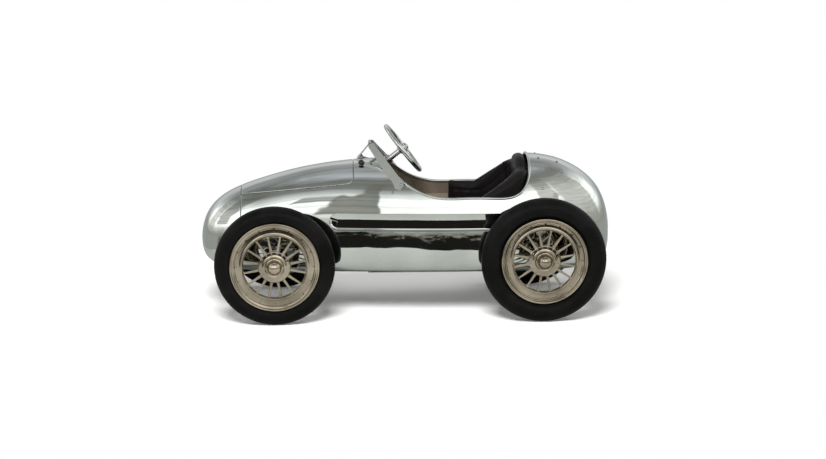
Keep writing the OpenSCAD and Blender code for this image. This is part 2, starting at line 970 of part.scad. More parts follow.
rear(-1) rear_tyre();  // tyre_rear_left
rear(-1) hub_cap();  // hub_cap_rear_left
rear(-1) rivets(rear_rim_r);  // rivets_rear_left
rear(1) rear_wheel(axle_bore + fit);  // wheel_rear_right
rear(1) rear_tyre();  // tyre_rear_right
rear(1) hub_cap();  // hub_cap_rear_right
rear(1) rivets(rear_rim_r);  // rivets_rear_right
front(-1) axle_nut();  // stub_nut_left
front(1) axle_nut();  // stub_nut_right
union() {  // rear_axle_nuts
    rear(-1) axle_nut();
    rear(1) axle_nut();
}
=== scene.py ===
"""Child's pedal racing car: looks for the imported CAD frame.

Lengths are written in millimetres and turned into metres where meshes are made.
Front of the car towards -X, its left side towards -Y, ground at z = 0.
"""

import itertools
import json
import math

import bmesh
import bpy
import numpy as np
from mathutils import Matrix, Vector

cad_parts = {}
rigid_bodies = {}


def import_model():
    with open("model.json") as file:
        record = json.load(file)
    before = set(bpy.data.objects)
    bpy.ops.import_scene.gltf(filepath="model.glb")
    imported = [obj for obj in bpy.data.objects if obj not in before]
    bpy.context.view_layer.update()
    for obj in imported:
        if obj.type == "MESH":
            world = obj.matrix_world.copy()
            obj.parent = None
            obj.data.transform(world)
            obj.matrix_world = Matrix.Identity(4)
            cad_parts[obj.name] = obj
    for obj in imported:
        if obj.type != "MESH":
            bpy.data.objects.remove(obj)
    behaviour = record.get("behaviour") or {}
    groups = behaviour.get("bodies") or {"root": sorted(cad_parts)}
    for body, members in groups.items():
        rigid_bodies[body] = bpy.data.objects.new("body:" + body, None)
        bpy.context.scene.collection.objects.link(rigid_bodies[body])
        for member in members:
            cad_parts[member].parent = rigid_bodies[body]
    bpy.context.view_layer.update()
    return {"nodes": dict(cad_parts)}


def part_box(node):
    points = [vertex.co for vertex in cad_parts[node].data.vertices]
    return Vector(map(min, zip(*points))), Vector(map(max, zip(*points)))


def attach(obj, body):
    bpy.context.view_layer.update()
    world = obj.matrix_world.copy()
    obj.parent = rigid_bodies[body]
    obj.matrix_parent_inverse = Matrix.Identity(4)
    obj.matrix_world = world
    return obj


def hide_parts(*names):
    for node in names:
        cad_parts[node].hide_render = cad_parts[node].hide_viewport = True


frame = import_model()
NODES = frame["nodes"]
MM = 0.001

# ---------------------------------------------------------------- driving sizes, as in the design
SECTIONS = np.array([  # x, top, bottom, height of the widest line, half-width
    [-580, 200, 200, 200, 0],
    [-571, 252, 162, 196, 50],
    [-553, 289, 142, 190, 76],
    [-518, 323, 127, 185, 94],
    [-465, 350, 118, 181, 107],
    [-395, 373, 114, 179, 118],
    [-305, 398, 114, 178, 128],
    [-195, 416, 114, 178, 141],
    [-75, 424, 114, 178, 157],
    [50, 427, 114, 178, 167],
    [170, 430, 114, 178, 170],
    [280, 433, 114, 178, 167],
    [370, 434, 114, 178, 156],
    [440, 418, 114, 178, 139],
    [500, 386, 117, 180, 117],
    [545, 342, 125, 186, 92],
    [568, 287, 145, 197, 58],
    [581, 212, 212, 212, 0]], float)
UPPER_POWER, LOWER_POWER = 2.3, 3.5
FLUTE_MID, FLUTE_HALF = 267.5, 23.5
FLUTE_FRONT, FLUTE_REAR = -195.0, 245.0
FLUTE_LIP = 0.03
FLUTE_WALL = 0.68       # where the steep lower wall starts, as a share of the half height
FLUTE_DEPTH, FLUTE_DEEPEN = 6.7, 3.2    # along the middle, and how much more just above the lower wall
FLUTE_RISE = 3.3        # how straight the floor comes up to the upper lip
SKIN = 1.6
BONNET_REAR, NOSE_SEAM = -150.0, -463.0
AXLE_X, FRONT_R, REAR_R, WHEEL_Y = 367.0, 164.0, 172.0, 210.0
SPOKES = 16


# ---------------------------------------------------------------- body surface
def padded_sections():
    """The driving sections with one ghost at each end, so that the ends close as round domes."""
    def ghost(end, near):
        g = 2 * end - near
        g[0], g[4] = near[0], -near[4]
        return g
    return np.vstack([ghost(SECTIONS[0], SECTIONS[1]), SECTIONS, ghost(SECTIONS[-1], SECTIONS[-2])])


PADDED = padded_sections()
S_END = len(SECTIONS) - 1.0


def section_at(s):
    """Uniform cubic B-spline of the driving sections at parameters s."""
    s = np.asarray(s, float)
    i = np.clip(np.floor(s).astype(int), 0, len(SECTIONS) - 2)
    f = (s - i)[..., None]
    return (PADDED[i] * (1 - f) ** 3 + PADDED[i + 1] * (3 * f ** 3 - 6 * f ** 2 + 4)
            + PADDED[i + 2] * (-3 * f ** 3 + 3 * f ** 2 + 3 * f + 1) + PADDED[i + 3] * f ** 3) / 6


FINE_S = np.linspace(0, S_END, 4001)
FINE_X = section_at(FINE_S)[:, 0]


def s_of(x):
    return np.interp(x, FINE_X, FINE_S)


def flute_groove(x, z):
    """1 along the middle of the side flute, 0 on its outline, below 0 outside."""
    along = np.maximum(np.maximum(FLUTE_FRONT - x, x - FLUTE_REAR), 0)
    return 1 - np.hypot(along, z - FLUTE_MID) / FLUTE_HALF


def flute(x, z):
    """Depth of the flute: a steep lower wall, then a floor that comes up gently to the upper lip."""
    q = 1 - flute_groove(x, z)
    up = (z - FLUTE_MID) / (FLUTE_HALF * np.maximum(q, 1e-6))
    share_up = np.clip(0.5 + 1.6 * up, 0, 1)
    share_up = np.where(q < 1, share_up, 0.5)
    q_in = np.clip(q, 0, 1)
    upper = FLUTE_DEPTH - FLUTE_RISE * q_in - (FLUTE_DEPTH - FLUTE_RISE) * q_in ** 2
    wall = np.clip((q_in - FLUTE_WALL) / (1 - FLUTE_WALL), 0, 1)
    lower = (FLUTE_DEPTH + FLUTE_DEEPEN * q_in) * np.sqrt(1 - wall ** 2 * (0.35 + 0.65 * wall))
    return np.where(q < 1, share_up * upper + (1 - share_up) * lower, 0.0)


LOW_SHARE, SIDE_SHARE, SIDE_TOP = 0.16, 0.62, 124.0


def surface(s, u):
    """Points of the body skin. s runs from nose to tail; u from 0 at the bottom up the right side to
    1 at the crown, and on down the left side to 2."""
    v = section_at(s)
    x, top, low, wide, half = (v[..., k] for k in range(5))
    side = np.where(u <= 1, 1.0, -1.0)
    t = np.where(u <= 1, u, 2 - u)
    span = np.maximum(top - wide, 1e-6)
    drop = np.maximum(wide - low, 1e-6)
    k = np.minimum(1, span / 200)
    side_top = SIDE_TOP * k
    a_low = (1 - np.clip(t / LOW_SHARE, 0, 1)) * math.pi / 2
    a_start = np.arcsin(np.clip(side_top / span, 0, 1) ** (UPPER_POWER / 2))
    a_up = a_start + (math.pi / 2 - a_start) * np.clip((t - SIDE_SHARE) / (1 - SIDE_SHARE), 0, 1)
    z = np.where(
        t < LOW_SHARE, wide - drop * np.sin(a_low) ** (2 / LOWER_POWER),
        np.where(t < SIDE_SHARE, wide + side_top * (t - LOW_SHARE) / (SIDE_SHARE - LOW_SHARE),
                 wide + span * np.sin(a_up) ** (2 / UPPER_POWER)))
    above = np.clip((z - wide) / span, 0, 1)
    below = np.clip((wide - z) / drop, 0, 1)
    y = half * np.where(z >= wide, (1 - above ** UPPER_POWER) ** (1 / UPPER_POWER),
                        (1 - below ** LOWER_POWER) ** (1 / LOWER_POWER))
    y = np.maximum(y - flute(x, z), 0)
    return np.stack([x, side * y, z], -1)


def top_z(x, y):
    """Height of the body's top surface at x, y."""
    v = section_at(s_of(x))
    share = np.clip(np.abs(y) / v[..., 4], 0, 1)
    return v[..., 3] + (v[..., 1] - v[..., 3]) * (1 - share ** UPPER_POWER) ** (1 / UPPER_POWER)


class Patch:
    """Polygons on a parametric surface, held as parameters, that can be split and cut along curves.
    u runs round the surface and comes back to 0 at the period."""

    def __init__(self, surface, period, s_values, u_values, step, caps=False):
        self.surface, self.period, self.step = surface, period, step
        rows, cols = len(s_values), len(u_values)
        ids = np.arange(rows * cols).reshape(rows, cols)
        nxt = np.roll(ids, -1, axis=1)
        quads = np.stack([ids[:-1], nxt[:-1], nxt[1:], ids[1:]], -1).reshape(-1, 4)
        self.faces = list(map(tuple, quads.tolist()))
        if caps:
            self.faces += [tuple(ids[0][::-1].tolist()), tuple(ids[-1].tolist())]
        self.s, self.u = np.repeat(s_values, cols), np.tile(u_values, rows)
        self.s_range = (s_values[0] + step[0], s_values[-1] - step[0])

    def copy(self):
        other = Patch.__new__(Patch)
        other.__dict__.update(self.__dict__)
        other.faces = list(self.faces)
        return other

    def cut(self, field, keep_both=False):
        """Keeps the part where field(points) >= 0, with new edges exactly along the curve where it is 0."""
        g = field(self.surface(self.s, self.u))
        pos = g > 0
        sizes = np.fromiter(map(len, self.faces), int, len(self.faces))
        flat = np.fromiter(itertools.chain.from_iterable(self.faces), int, sizes.sum())
        count = np.add.reduceat(pos[flat].astype(int), np.concatenate([[0], np.cumsum(sizes)[:-1]]))
        mixed = [self.faces[i] for i in np.flatnonzero((count > 0) & (count < sizes))]
        whole = (count == sizes) | (keep_both & (count == 0))
        faces = [self.faces[i] for i in np.flatnonzero(whole)]
        crossing = {}
        for f in mixed:
            for a, b in zip(f, f[1:] + f[:1]):
                if pos[a] != pos[b]:
                    crossing.setdefault((min(a, b), max(a, b)), len(crossing))
        if crossing:
            pairs = np.array(list(crossing), int)
            sa, sb = self.s[pairs].T
            ua, ub = self.u[pairs].T
            half = self.period / 2
            ub = np.where(ub - ua > half, ub - 2 * half, np.where(ua - ub > half, ub + 2 * half, ub))
            lo, hi = np.zeros(len(pairs)), np.ones(len(pairs))
            start = pos[pairs[:, 0]]
            for _ in range(24):
                mid = (lo + hi) / 2
                here = field(self.surface(sa + (sb - sa) * mid, (ua + (ub - ua) * mid) % self.period)) > 0
                lo, hi = np.where(here == start, mid, lo), np.where(here == start, hi, mid)
            base = len(self.s)
            self.s = np.append(self.s, sa + (sb - sa) * lo)
            self.u = np.append(self.u, (ua + (ub - ua) * lo) % self.period)
            for f in mixed:
                for sign in ((True, False) if keep_both else (True,)):
                    new = []
                    for a, b in zip(f, f[1:] + f[:1]):
                        if pos[a] == sign:
                            new.append(a)
                        if pos[a] != pos[b]:
                            new.append(base + crossing[(min(a, b), max(a, b))])
                    if len(new) > 2:
                        faces.append(tuple(new))
        self.faces = faces
        return self

    def rings(self, field, distances):
        """Adds edges at these distances inside a boundary, so that it can be rolled over."""
        for d in distances:
            self.cut(lambda p, d=d: field(p) - d, keep_both=True)
        return self

    def plain_normals(self, s, u):
        ds, du = self.step
        s0, s1 = np.clip(s - ds, *self.s_range), np.clip(s + ds, *self.s_range)
        along = self.surface(s1, u) - self.surface(s0, u)
        round_ = self.surface(s, (u + du) % self.period) - self.surface(s, (u - du) % self.period)
        n = np.cross(round_, along)
        return n / np.maximum(np.linalg.norm(n, axis=-1, keepdims=True), 1e-12)

    def place(self, s, u, drop):
        p = self.surface(s, u)
        n = self.plain_normals(s, u)
        return (p if drop is None else p - drop(p)[..., None] * n), n

    def solid(self, name, skin, drop=None, inside=None):
        """A closed piece of sheet: this surface outside, one moved inwards by the skin, and walls between.
        drop(points) sinks the surface near its edges; inside is the polygon material of the inner side."""
        used = np.unique(np.fromiter(itertools.chain.from_iterable(self.faces), int))
        to_new = np.full(len(self.s), -1)
        to_new[used] = np.arange(len(used))
        s, u, n = self.s[used], self.u[used], len(used)
        outer, plain = self.place(s, u, drop)
        normals = plain
        if drop is not None:
            ds, du = self.step
            s0, s1 = np.clip(s - ds, *self.s_range), np.clip(s + ds, *self.s_range)
            along = self.place(s1, u, drop)[0] - self.place(s0, u, drop)[0]
            round_ = (self.place(s, (u + du) % self.period, drop)[0]
                      - self.place(s, (u - du) % self.period, drop)[0])
            normals = np.cross(round_, along)
            normals /= np.maximum(np.linalg.norm(normals, axis=-1, keepdims=True), 1e-12)
        inner = outer - skin * plain
        faces = [tuple(to_new[list(f)].tolist()) for f in self.faces]
        edges = {}
        for f in faces:
            for a, b in zip(f, f[1:] + f[:1]):
                edges[(a, b)] = True
        rim = [(a, b) for a, b in edges if (b, a) not in edges]
        walls = [(b, a, a + n, b + n) for a, b in rim]
        back = [tuple(v + n for v in f[::-1]) for f in faces]
        points = np.vstack([outer, inner])
        w = np.array(walls).reshape(-1, 4)
        flat = np.cross(points[w[:, 1]] - points[w[:, 0]], points[w[:, 3]] - points[w[:, 0]])
        flat /= np.maximum(np.linalg.norm(flat, axis=-1, keepdims=True), 1e-12)
        both = np.vstack([normals, -plain])
        corners = np.vstack([
            both[np.fromiter(itertools.chain.from_iterable(faces + back), int)], np.repeat(flat, 4, axis=0)])
        obj = mesh_object(name, points, faces + back + walls, corner_normals=corners)
        if inside is not None:
            index = np.zeros(len(faces) * 2 + len(walls), int)
            index[len(faces):len(faces) * 2] = inside
            obj.data.materials.append(None)
            obj.data.materials.append(None)
            obj.data.polygons.foreach_set("material_index", index)
        return obj


def rolled(distance, radius):
    """How far a sheet's edge sinks where it is rolled over with this radius."""
    d = np.clip(distance, 0, radius)
    return radius - np.sqrt(np.maximum(radius ** 2 - (radius - d) ** 2, 0))


def round_corner(d1, d2, r):
    """Signed distance inside the meeting of two regions, with the corner between them rounded."""
    q1, q2 = r - d1, r - d2
    return r - np.minimum(np.maximum(q1, q2), 0) - np.hypot(np.maximum(q1, 0), np.maximum(q2, 0))


# ---------------------------------------------------------------- mesh helpers
def link(obj):
    bpy.context.scene.collection.objects.link(obj)
    return obj


def finish_piece(obj, body, material, replaces=()):
    """Gives a piece its material, its body and what it stands for."""
    wanted = material if isinstance(material, (list, tuple)) else [material]
    while len(obj.data.materials) < len(wanted):
        obj.data.materials.append(None)
    for i, m in enumerate(wanted):
        obj.data.materials[i] = m
    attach(obj, body)
    if replaces:
        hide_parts(*replaces)
    return obj


def mesh_object(name, points, faces, smooth=True, corner_normals=None, sharp_deg=None):
    """A mesh object from points in millimetres. Edges sharper than sharp_deg are shaded sharp."""
    mesh = bpy.data.meshes.new(name)
    faces = [tuple(int(v) for v in f) for f in faces]
    mesh.from_pydata((np.asarray(points, float) * MM).tolist(), [], faces)
    mesh.polygons.foreach_set("use_smooth", [smooth] * len(mesh.polygons))
    if corner_normals is not None:
        mesh.normals_split_custom_set(corner_normals)
    elif sharp_deg is not None:
        mesh.set_sharp_from_angle(angle=math.radians(sharp_deg))
    mesh.update()
    return link(bpy.data.objects.new(name, mesh))


def select_only(objects):
    """Selects these objects, the first of them as the active one."""
    for o in bpy.context.view_layer.objects:
        o.select_set(False)
    for o in objects:
        o.select_set(True)
    bpy.context.view_layer.objects.active = objects[0]


def join(objects, name):
    """One object made of several."""
    select_only(objects)
    bpy.ops.object.join()
    objects[0].name = name
    objects[0].data.name = name
    return objects[0]


def rounded(points, closed=True, steps=5):
    """A profile whose corners (a, b, radius) are replaced by arcs."""
    out = []
    n = len(points)
    for i, p in enumerate(points):
        r = p[2] if len(p) > 2 else 0
        here = np.array(p[:2], float)
        if r == 0 or (not closed and i in (0, n - 1)):
            out.append(here)
            continue
        before = np.array(points[i - 1][:2], float) - here
        after = np.array(points[(i + 1) % n][:2], float) - here
        la, lb = np.linalg.norm(before), np.linalg.norm(after)
        before, after = before / la, after / lb
        half = math.acos(np.clip(before @ after, -1, 1)) / 2
        if half > math.radians(88):
            out.append(here)
            continue
        reach = min(r / math.tan(half), 0.49 * la, 0.49 * lb)
        r = reach * math.tan(half)
        middle = (before + after) / np.linalg.norm(before + after)
        centre = here + middle * r / math.sin(half)
        start, end = here + before * reach - centre, here + after * reach - centre
        a0 = math.atan2(start[1], start[0])
        turn = (math.atan2(end[1], end[0]) - a0 + math.pi) % (2 * math.pi) - math.pi
        for k in range(steps + 1):
            a = a0 + turn * k / steps
            out.append(centre + r * np.array([math.cos(a), math.sin(a)]))
    return np.array(out)


def arc(centre, r, start, end, steps):
    """Points on an arc, angles in degrees."""
    a = np.radians(np.linspace(start, end, steps + 1))
    return np.stack([centre[0] + r * np.cos(a), centre[1] + r * np.sin(a)], -1)


def lathe(profile, segments=96, closed=True):
    """Points and faces of a profile (radius, height) turned about the local Z axis."""
    profile = np.asarray(profile, float)
    n = len(profile)
    a = np.arange(segments) * 2 * math.pi / segments
    points = np.stack([
        np.outer(np.cos(a), profile[:, 0]).ravel(), np.outer(np.sin(a), profile[:, 0]).ravel(),
        np.tile(profile[:, 1], segments)], -1)
    faces = []
    for i in range(segments):
        k = (i + 1) % segments
        for j in range(n if closed else n - 1):
            m = (j + 1) % n
            quad = [i * n + j, k * n + j, k * n + m, i * n + m]
            faces.append(quad)
    if not closed:
        for j, flip in ((0, True), (n - 1, False)):
            if profile[j, 0] > 1e-6:
                ring = [i * n + j for i in range(segments)]
                faces.append(ring[::-1] if flip else ring)
    return merge_poles(points, faces)


def merge_poles(points, faces):
    """Joins points that coincide, such as those where a profile meets its axis."""
    key = np.round(points, 5)
    _, first, inverse = np.unique(key, axis=0, return_index=True, return_inverse=True)
    inverse = inverse.ravel()
    out = []
    for f in faces:
        g = []
        for v in f:
            w = int(inverse[v])
            if not g or (w != g[-1]):
                g.append(w)
        if len(g) > 1 and g[0] == g[-1]:
            g.pop()
        if len(set(g)) > 2:
            out.append(g)
    return points[first], out


def fix_normals(obj):
    """Turns every face of a closed mesh outward."""
    bm = bmesh.new()
    bm.from_mesh(obj.data)
    bmesh.ops.recalc_face_normals(bm, faces=bm.faces)
    bm.to_mesh(obj.data)
    bm.free()
    return obj


def frame_points(points, origin, x_axis, y_axis, z_axis):
    """Local points placed in a frame given by its origin and axes, in millimetres."""
    basis = np.stack([np.asarray(a, float) / np.linalg.norm(a) for a in (x_axis, y_axis, z_axis)])
    return np.asarray(points, float) @ basis + np.asarray(origin, float)


def tube_faces(rows, sides, closed=False):
    """Quads between rings of points, and the two end faces unless the tube closes on itself."""
    faces = []
    for i in range(rows if closed else rows - 1):
        w = (i + 1) % rows
        for j in range(sides):
            k = (j + 1) % sides
            faces.append([i * sides + j, i * sides + k, w * sides + k, w * sides + j])
    if not closed:
        faces += [list(range(sides))[::-1], [(rows - 1) * sides + j for j in range(sides)]]
    return faces


def sweep(path, r, sides=12, closed=False, up=(0, 0, 1)):
    """A round tube of radius r, a number or one per point, along a path."""
    path = np.asarray(path, float)
    n = len(path)
    r = np.broadcast_to(r, n)
    ahead = np.roll(path, -1, 0) - np.roll(path, 1, 0)
    if not closed:
        ahead[0], ahead[-1] = path[1] - path[0], path[-1] - path[-2]
    t = ahead / np.linalg.norm(ahead, axis=1, keepdims=True)
    side = np.cross(t, np.broadcast_to(np.asarray(up, float), t.shape))
    side /= np.linalg.norm(side, axis=1, keepdims=True)
    top = np.cross(side, t)
    a = np.arange(sides) * 2 * math.pi / sides
    rings = path[:, None] + r[:, None, None] * (
        side[:, None] * np.cos(a)[None, :, None] + top[:, None] * np.sin(a)[None, :, None])
    return rings.reshape(-1, 3), tube_faces(n, sides, closed)


# ---------------------------------------------------------------- materials
def add_node(tree, kind, inputs=None, **settings):
    """A node with these settings, its inputs linked to sockets or set to values."""
    node = tree.nodes.new(kind)
    for k, v in settings.items():
        setattr(node, k, v)
    for k, v in (inputs or {}).items():
        if isinstance(v, bpy.types.NodeSocket):
            tree.links.new(v, node.inputs[k])
        else:
            node.inputs[k].default_value = v
    return node


class Nodes:
    """A small builder for procedural materials."""

    def __init__(self, name):
        self.material = bpy.data.materials.new(name)
        self.material.use_nodes = True
        self.tree = self.material.node_tree
        self.shader = self.tree.nodes["Principled BSDF"]
        self.coords = self.tree.nodes.new("ShaderNodeTexCoord").outputs["Object"]

    def new(self, kind, inputs=None, **settings):
        return add_node(self.tree, kind, inputs, **settings)

    def noise(self, scale, detail=3.0, rough=0.5, distortion=0.0):
        return self.new("ShaderNodeTexNoise", {
            "Vector": self.coords, "Scale": scale, "Detail": detail, "Roughness": rough,
            "Distortion": distortion}).outputs["Fac"]

    def spread(self, value, low, high, to_low, to_high):
        return self.new("ShaderNodeMapRange", {
            "Value": value, "From Min": low, "From Max": high, "To Min": to_low, "To Max": to_high}).outputs[0]

    def mix_colour(self, factor, a, b):
        mix = self.new("ShaderNodeMix", {"Factor": factor, 6: (*a, 1), 7: (*b, 1)}, data_type="RGBA")
        return mix.outputs[2]

    def add_bump(self, height, strength, distance, after=None):
        inputs = {"Height": height, "Strength": strength, "Distance": distance}
        if after is not None:
            inputs["Normal"] = after
        return self.new("ShaderNodeBump", inputs).outputs[0]

    def set(self, **values):
        for k, v in values.items():
            socket = self.shader.inputs[k.replace("_", " ")]
            if isinstance(v, bpy.types.NodeSocket):
                self.tree.links.new(v, socket)
            else:
                socket.default_value = (*v, 1) if isinstance(v, tuple) and len(v) == 3 else v
        return self.material


def metal(name, dark, light, rough, rough_spread, wave=0.0, grain=0.0, metallic=1.0):
    """Metal with cloudy tone, smudged roughness, gentle sheet waviness and fine grain."""
    n = Nodes(name)
    cloud = n.noise(9.0, 4.0)
    colour = n.mix_colour(n.spread(cloud, 0.35, 0.65, 0, 1), dark, light)
    smudge = n.noise(23.0, 6.0, 0.6)
    roughness = n.spread(smudge, 0.3, 0.75, rough - rough_spread, rough + rough_spread)
    bump = None
    if wave:
        bump = n.add_bump(n.noise(7.0, 1.5, 0.4), 1.0, wave)
    if grain:
        bump = n.add_bump(n.noise(400.0, 2.0, 0.6), 0.35, grain, bump)
    settings = {"Base_Color": colour, "Roughness": roughness, "Metallic": metallic}
    if bump is not None:
        settings["Normal"] = bump
    return n.set(**settings)


def make_materials():
    mats = {}
    mats["body"] = metal("body_chrome", (0.60, 0.63, 0.61), (0.70, 0.72, 0.70), 0.028, 0.02, wave=0.0022)
    mats["bright"] = metal("bright_chrome", (0.62, 0.64, 0.62), (0.70, 0.71, 0.69), 0.07, 0.03)
    mats["nickel"] = metal("wheel_nickel", (0.34, 0.29, 0.225), (0.58, 0.51, 0.41), 0.13, 0.06, grain=0.00003)
    mats["bare"] = metal("bare_metal", (0.20, 0.16, 0.12), (0.30, 0.25, 0.19), 0.45, 0.08, grain=0.00008,
                         metallic=0.2)
    mats["steel"] = metal("machined_steel", (0.42, 0.42, 0.41), (0.55, 0.55, 0.54), 0.26, 0.07, grain=0.00005)

    n = Nodes("frame_enamel")
    fleck = n.noise(60.0, 5.0)
    mats["frame"] = n.set(
        Base_Color=n.mix_colour(fleck, (0.012, 0.012, 0.013), (0.03, 0.03, 0.032)),
        Roughness=n.spread(fleck, 0.3, 0.7, 0.25, 0.42),
        Normal=n.add_bump(n.noise(240.0, 3.0), 0.25, 0.0001))

    n = Nodes("tyre_rubber")
    dust = n.noise(14.0, 6.0, 0.6)
    mats["tyre"] = n.set(
        Base_Color=n.mix_colour(
            n.spread(dust, 0.4, 0.7, 0, 1), (0.0022, 0.0021, 0.0021), (0.0065, 0.006, 0.006)),
        Roughness=n.spread(n.noise(90.0, 4.0), 0.3, 0.7, 0.34, 0.48), Specular_IOR_Level=0.11,
        Normal=n.add_bump(n.noise(700.0, 2.0), 0.3, 0.00008))

    n = Nodes("pedal_rubber")
    mats["rubber"] = n.set(
        Base_Color=n.mix_colour(n.noise(30.0, 5.0), (0.008, 0.008, 0.008), (0.02, 0.02, 0.02)),
        Roughness=n.spread(n.noise(120.0, 4.0), 0.3, 0.7, 0.5, 0.7),
        Normal=n.add_bump(n.noise(500.0, 2.0), 0.3, 0.0001))

    n = Nodes("seat_vinyl")
    cells = n.new("ShaderNodeTexVoronoi", {"Vector": n.coords, "Scale": 520.0}, feature="DISTANCE_TO_EDGE")
    pebble = n.spread(cells.outputs["Distance"], 0.0, 0.12, 0.0, 1.0)
    creases = n.noise(35.0, 3.0, 0.6, 0.6)
    mats["vinyl"] = n.set(
        Base_Color=n.mix_colour(n.noise(12.0, 4.0), (0.0028, 0.0025, 0.0025), (0.008, 0.0068, 0.0068)),
        Roughness=n.spread(creases, 0.3, 0.7, 0.28, 0.46), Specular_IOR_Level=0.16,
        Normal=n.add_bump(pebble, 0.35, 0.00025, n.add_bump(creases, 0.3, 0.0008)))

    return mats


MAT = make_materials()


# ---------------------------------------------------------------- body
COCKPIT_X, COCKPIT_FRONT, COCKPIT_REAR, COCKPIT_HALF = 150.0, 212.0, 190.0, 143.0
FRONT_POWER, REAR_POWER = 2.7, 6.0
SEAM_GAP = 0.6          # half the gap between two body panels
ROLL = 1.5              # radius of the panels' rolled edges
PANEL_CORNER = 16.0
FAR = 60.0              # distance given to points that an opening doesn't concern
WIRE_R = 3.5            # of the wired edge round the cockpit
KNUCKLE_CUT = (-352.0, 163.0, 48.0, 29.0, 12.0)     # middle x and z, half length and height, corner radius
AXLE_HOLE_R = 15.0
BELLY_X, BELLY_HALF, BELLY_Y = 45.0, 355.0, 80.0
BONNET_LOW = np.array([[-463.0, 334.0], [-166.0, 367.0]])   # the panel's lower edge, x and z


def opening(a, shrink=0.0):
    """Outline of the cockpit opening in plan at angle a in radians: rounded in front and squarer behind."""
    a = np.asarray(a, float)
    c, s = np.cos(a), np.sin(a)
    p = np.where(c > 0, REAR_POWER, FRONT_POWER)
    reach = np.where(c > 0, COCKPIT_REAR, COCKPIT_FRONT) - shrink
    r = ((np.abs(c) / reach) ** p + (np.abs(s) / (COCKPIT_HALF - shrink)) ** p) ** (-1 / p)
    return np.stack([COCKPIT_X + r * c, r * s], -1)


def outside_cockpit(p):
    """Positive on the skin round the cockpit opening, about the distance from its edge."""
    x = p[..., 0] - COCKPIT_X
    power = np.where(x > 0, REAR_POWER, FRONT_POWER)
    reach = np.where(x > 0, COCKPIT_REAR, COCKPIT_FRONT)
    q = (np.abs(x) / reach) ** power + (np.abs(p[..., 1]) / COCKPIT_HALF) ** power
    return np.where(p[..., 2] > 300, (q ** (1 / power) - 1) * COCKPIT_HALF, FAR)


def in_bonnet(p):
    """Distance inside the outline of the bonnet panel."""
    a, b = BONNET_LOW
    t = (b - a) / np.linalg.norm(b - a)
    above = (p[..., 2] - a[1]) * t[0] - (p[..., 0] - a[0]) * t[1]
    corner = round_corner(above, BONNET_REAR - p[..., 0], PANEL_CORNER)
    return np.minimum(corner, p[..., 0] - NOSE_SEAM)


def outside_axle_cuts(p):
    """Distance outside the openings that the front knuckles and the rear axle pass through."""
    x, y, z = p[..., 0], np.abs(p[..., 1]), p[..., 2]
    mid_x, mid_z, half_x, half_z, r = KNUCKLE_CUT
    qx, qz = np.abs(x - mid_x) - (half_x - r), np.abs(z - mid_z) - (half_z - r)
    front = np.hypot(np.maximum(qx, 0), np.maximum(qz, 0)) + np.minimum(np.maximum(qx, qz), 0) - r
    rear = np.hypot(x - AXLE_X, z - REAR_R) - AXLE_HOLE_R
    return np.where(y > 70, np.minimum(front, rear), FAR)


def outside_belly(p):
    """Distance outside the opening that the belly pan closes."""
    x, y, z = p[..., 0], np.abs(p[..., 1]), p[..., 2]
    return np.where(z < 122, np.maximum(np.abs(x - BELLY_X) - BELLY_HALF, y - BELLY_Y), FAR)


def body_patch():
    s = np.concatenate([
        np.linspace(0.04, 1, 26)[:-1], np.linspace(1, 4, 44)[:-1], np.linspace(4, 13, 230)[:-1],
        np.linspace(13, 16, 60)[:-1], np.linspace(16, S_END - 0.04, 26)])
    half = np.concatenate([
        np.linspace(0, LOW_SHARE, 20)[:-1], np.linspace(LOW_SHARE, SIDE_SHARE, 64)[:-1],
        np.linspace(SIDE_SHARE, 1, 56)])
    patch = Patch(surface, 2.0, s, np.concatenate([half, 2 - half[::-1][1:-1]]), (2e-3, 6e-4), caps=True)
    for q in (1 - FLUTE_LIP, 1.0, 1 + FLUTE_LIP):
        patch.cut(lambda p, q=q: flute_groove(p[..., 0], p[..., 2]) - (1 - q), keep_both=True)
    return patch


def make_body():
    whole = body_patch()
    distances = (0.35, 0.8, ROLL)

    def nose(p):
        return NOSE_SEAM - SEAM_GAP - p[..., 0]

    def bonnet(p):
        return in_bonnet(p) - SEAM_GAP

    def rest(p):
        return np.minimum(p[..., 0] - NOSE_SEAM - SEAM_GAP, -in_bonnet(p) - SEAM_GAP)

    def cuts(p):
        return np.minimum(outside_cockpit(p), outside_axle_cuts(p))

    def edge(p):
        return np.minimum(rest(p), outside_axle_cuts(p))

    for name, node, region, others, rim in (
            ("nose_cowl_skin", "nose_cowl", nose, (), nose),
            ("bonnet_skin", "bonnet_panel", bonnet, (cuts,), bonnet),
            ("body_shell_skin", "body_shell", rest, (cuts, outside_belly), edge)):
        patch = whole.copy().cut(region)
        for other in others:
            patch.cut(other)
        patch.rings(rim, distances)
        piece = patch.solid(name, SKIN, lambda p, rim=rim: rolled(rim(p), ROLL), inside=1)
        finish_piece(piece, "root", [MAT["body"], MAT["bare"]], [node])

    xy = opening(np.radians(np.arange(0, 360, 1.5)))
    path = np.column_stack([xy, top_z(xy[:, 0], xy[:, 1])])
    piece = fix_normals(mesh_object("cockpit_wired_edge", *sweep(path, WIRE_R, 14, closed=True)))
    finish_piece(piece, "root", MAT["body"], ["cockpit_rim"])


# ---------------------------------------------------------------- wheels
WINDOW_IN, WINDOW_OUT, WINDOW_HALF = 49.0, 84.2, 5.8
WINDOW_SPLAY = math.radians(13.4)
DISC_SKIN = 2.2
LIP_Z = 22.6            # height of the rim's lips off the middle of the wheel
BORE_R, HUB_R, HUB_IN, HUB_OUT = 8.05, 14.5, -35.6, 18.4
CAP_Z = 19.7            # where the hub cap sits


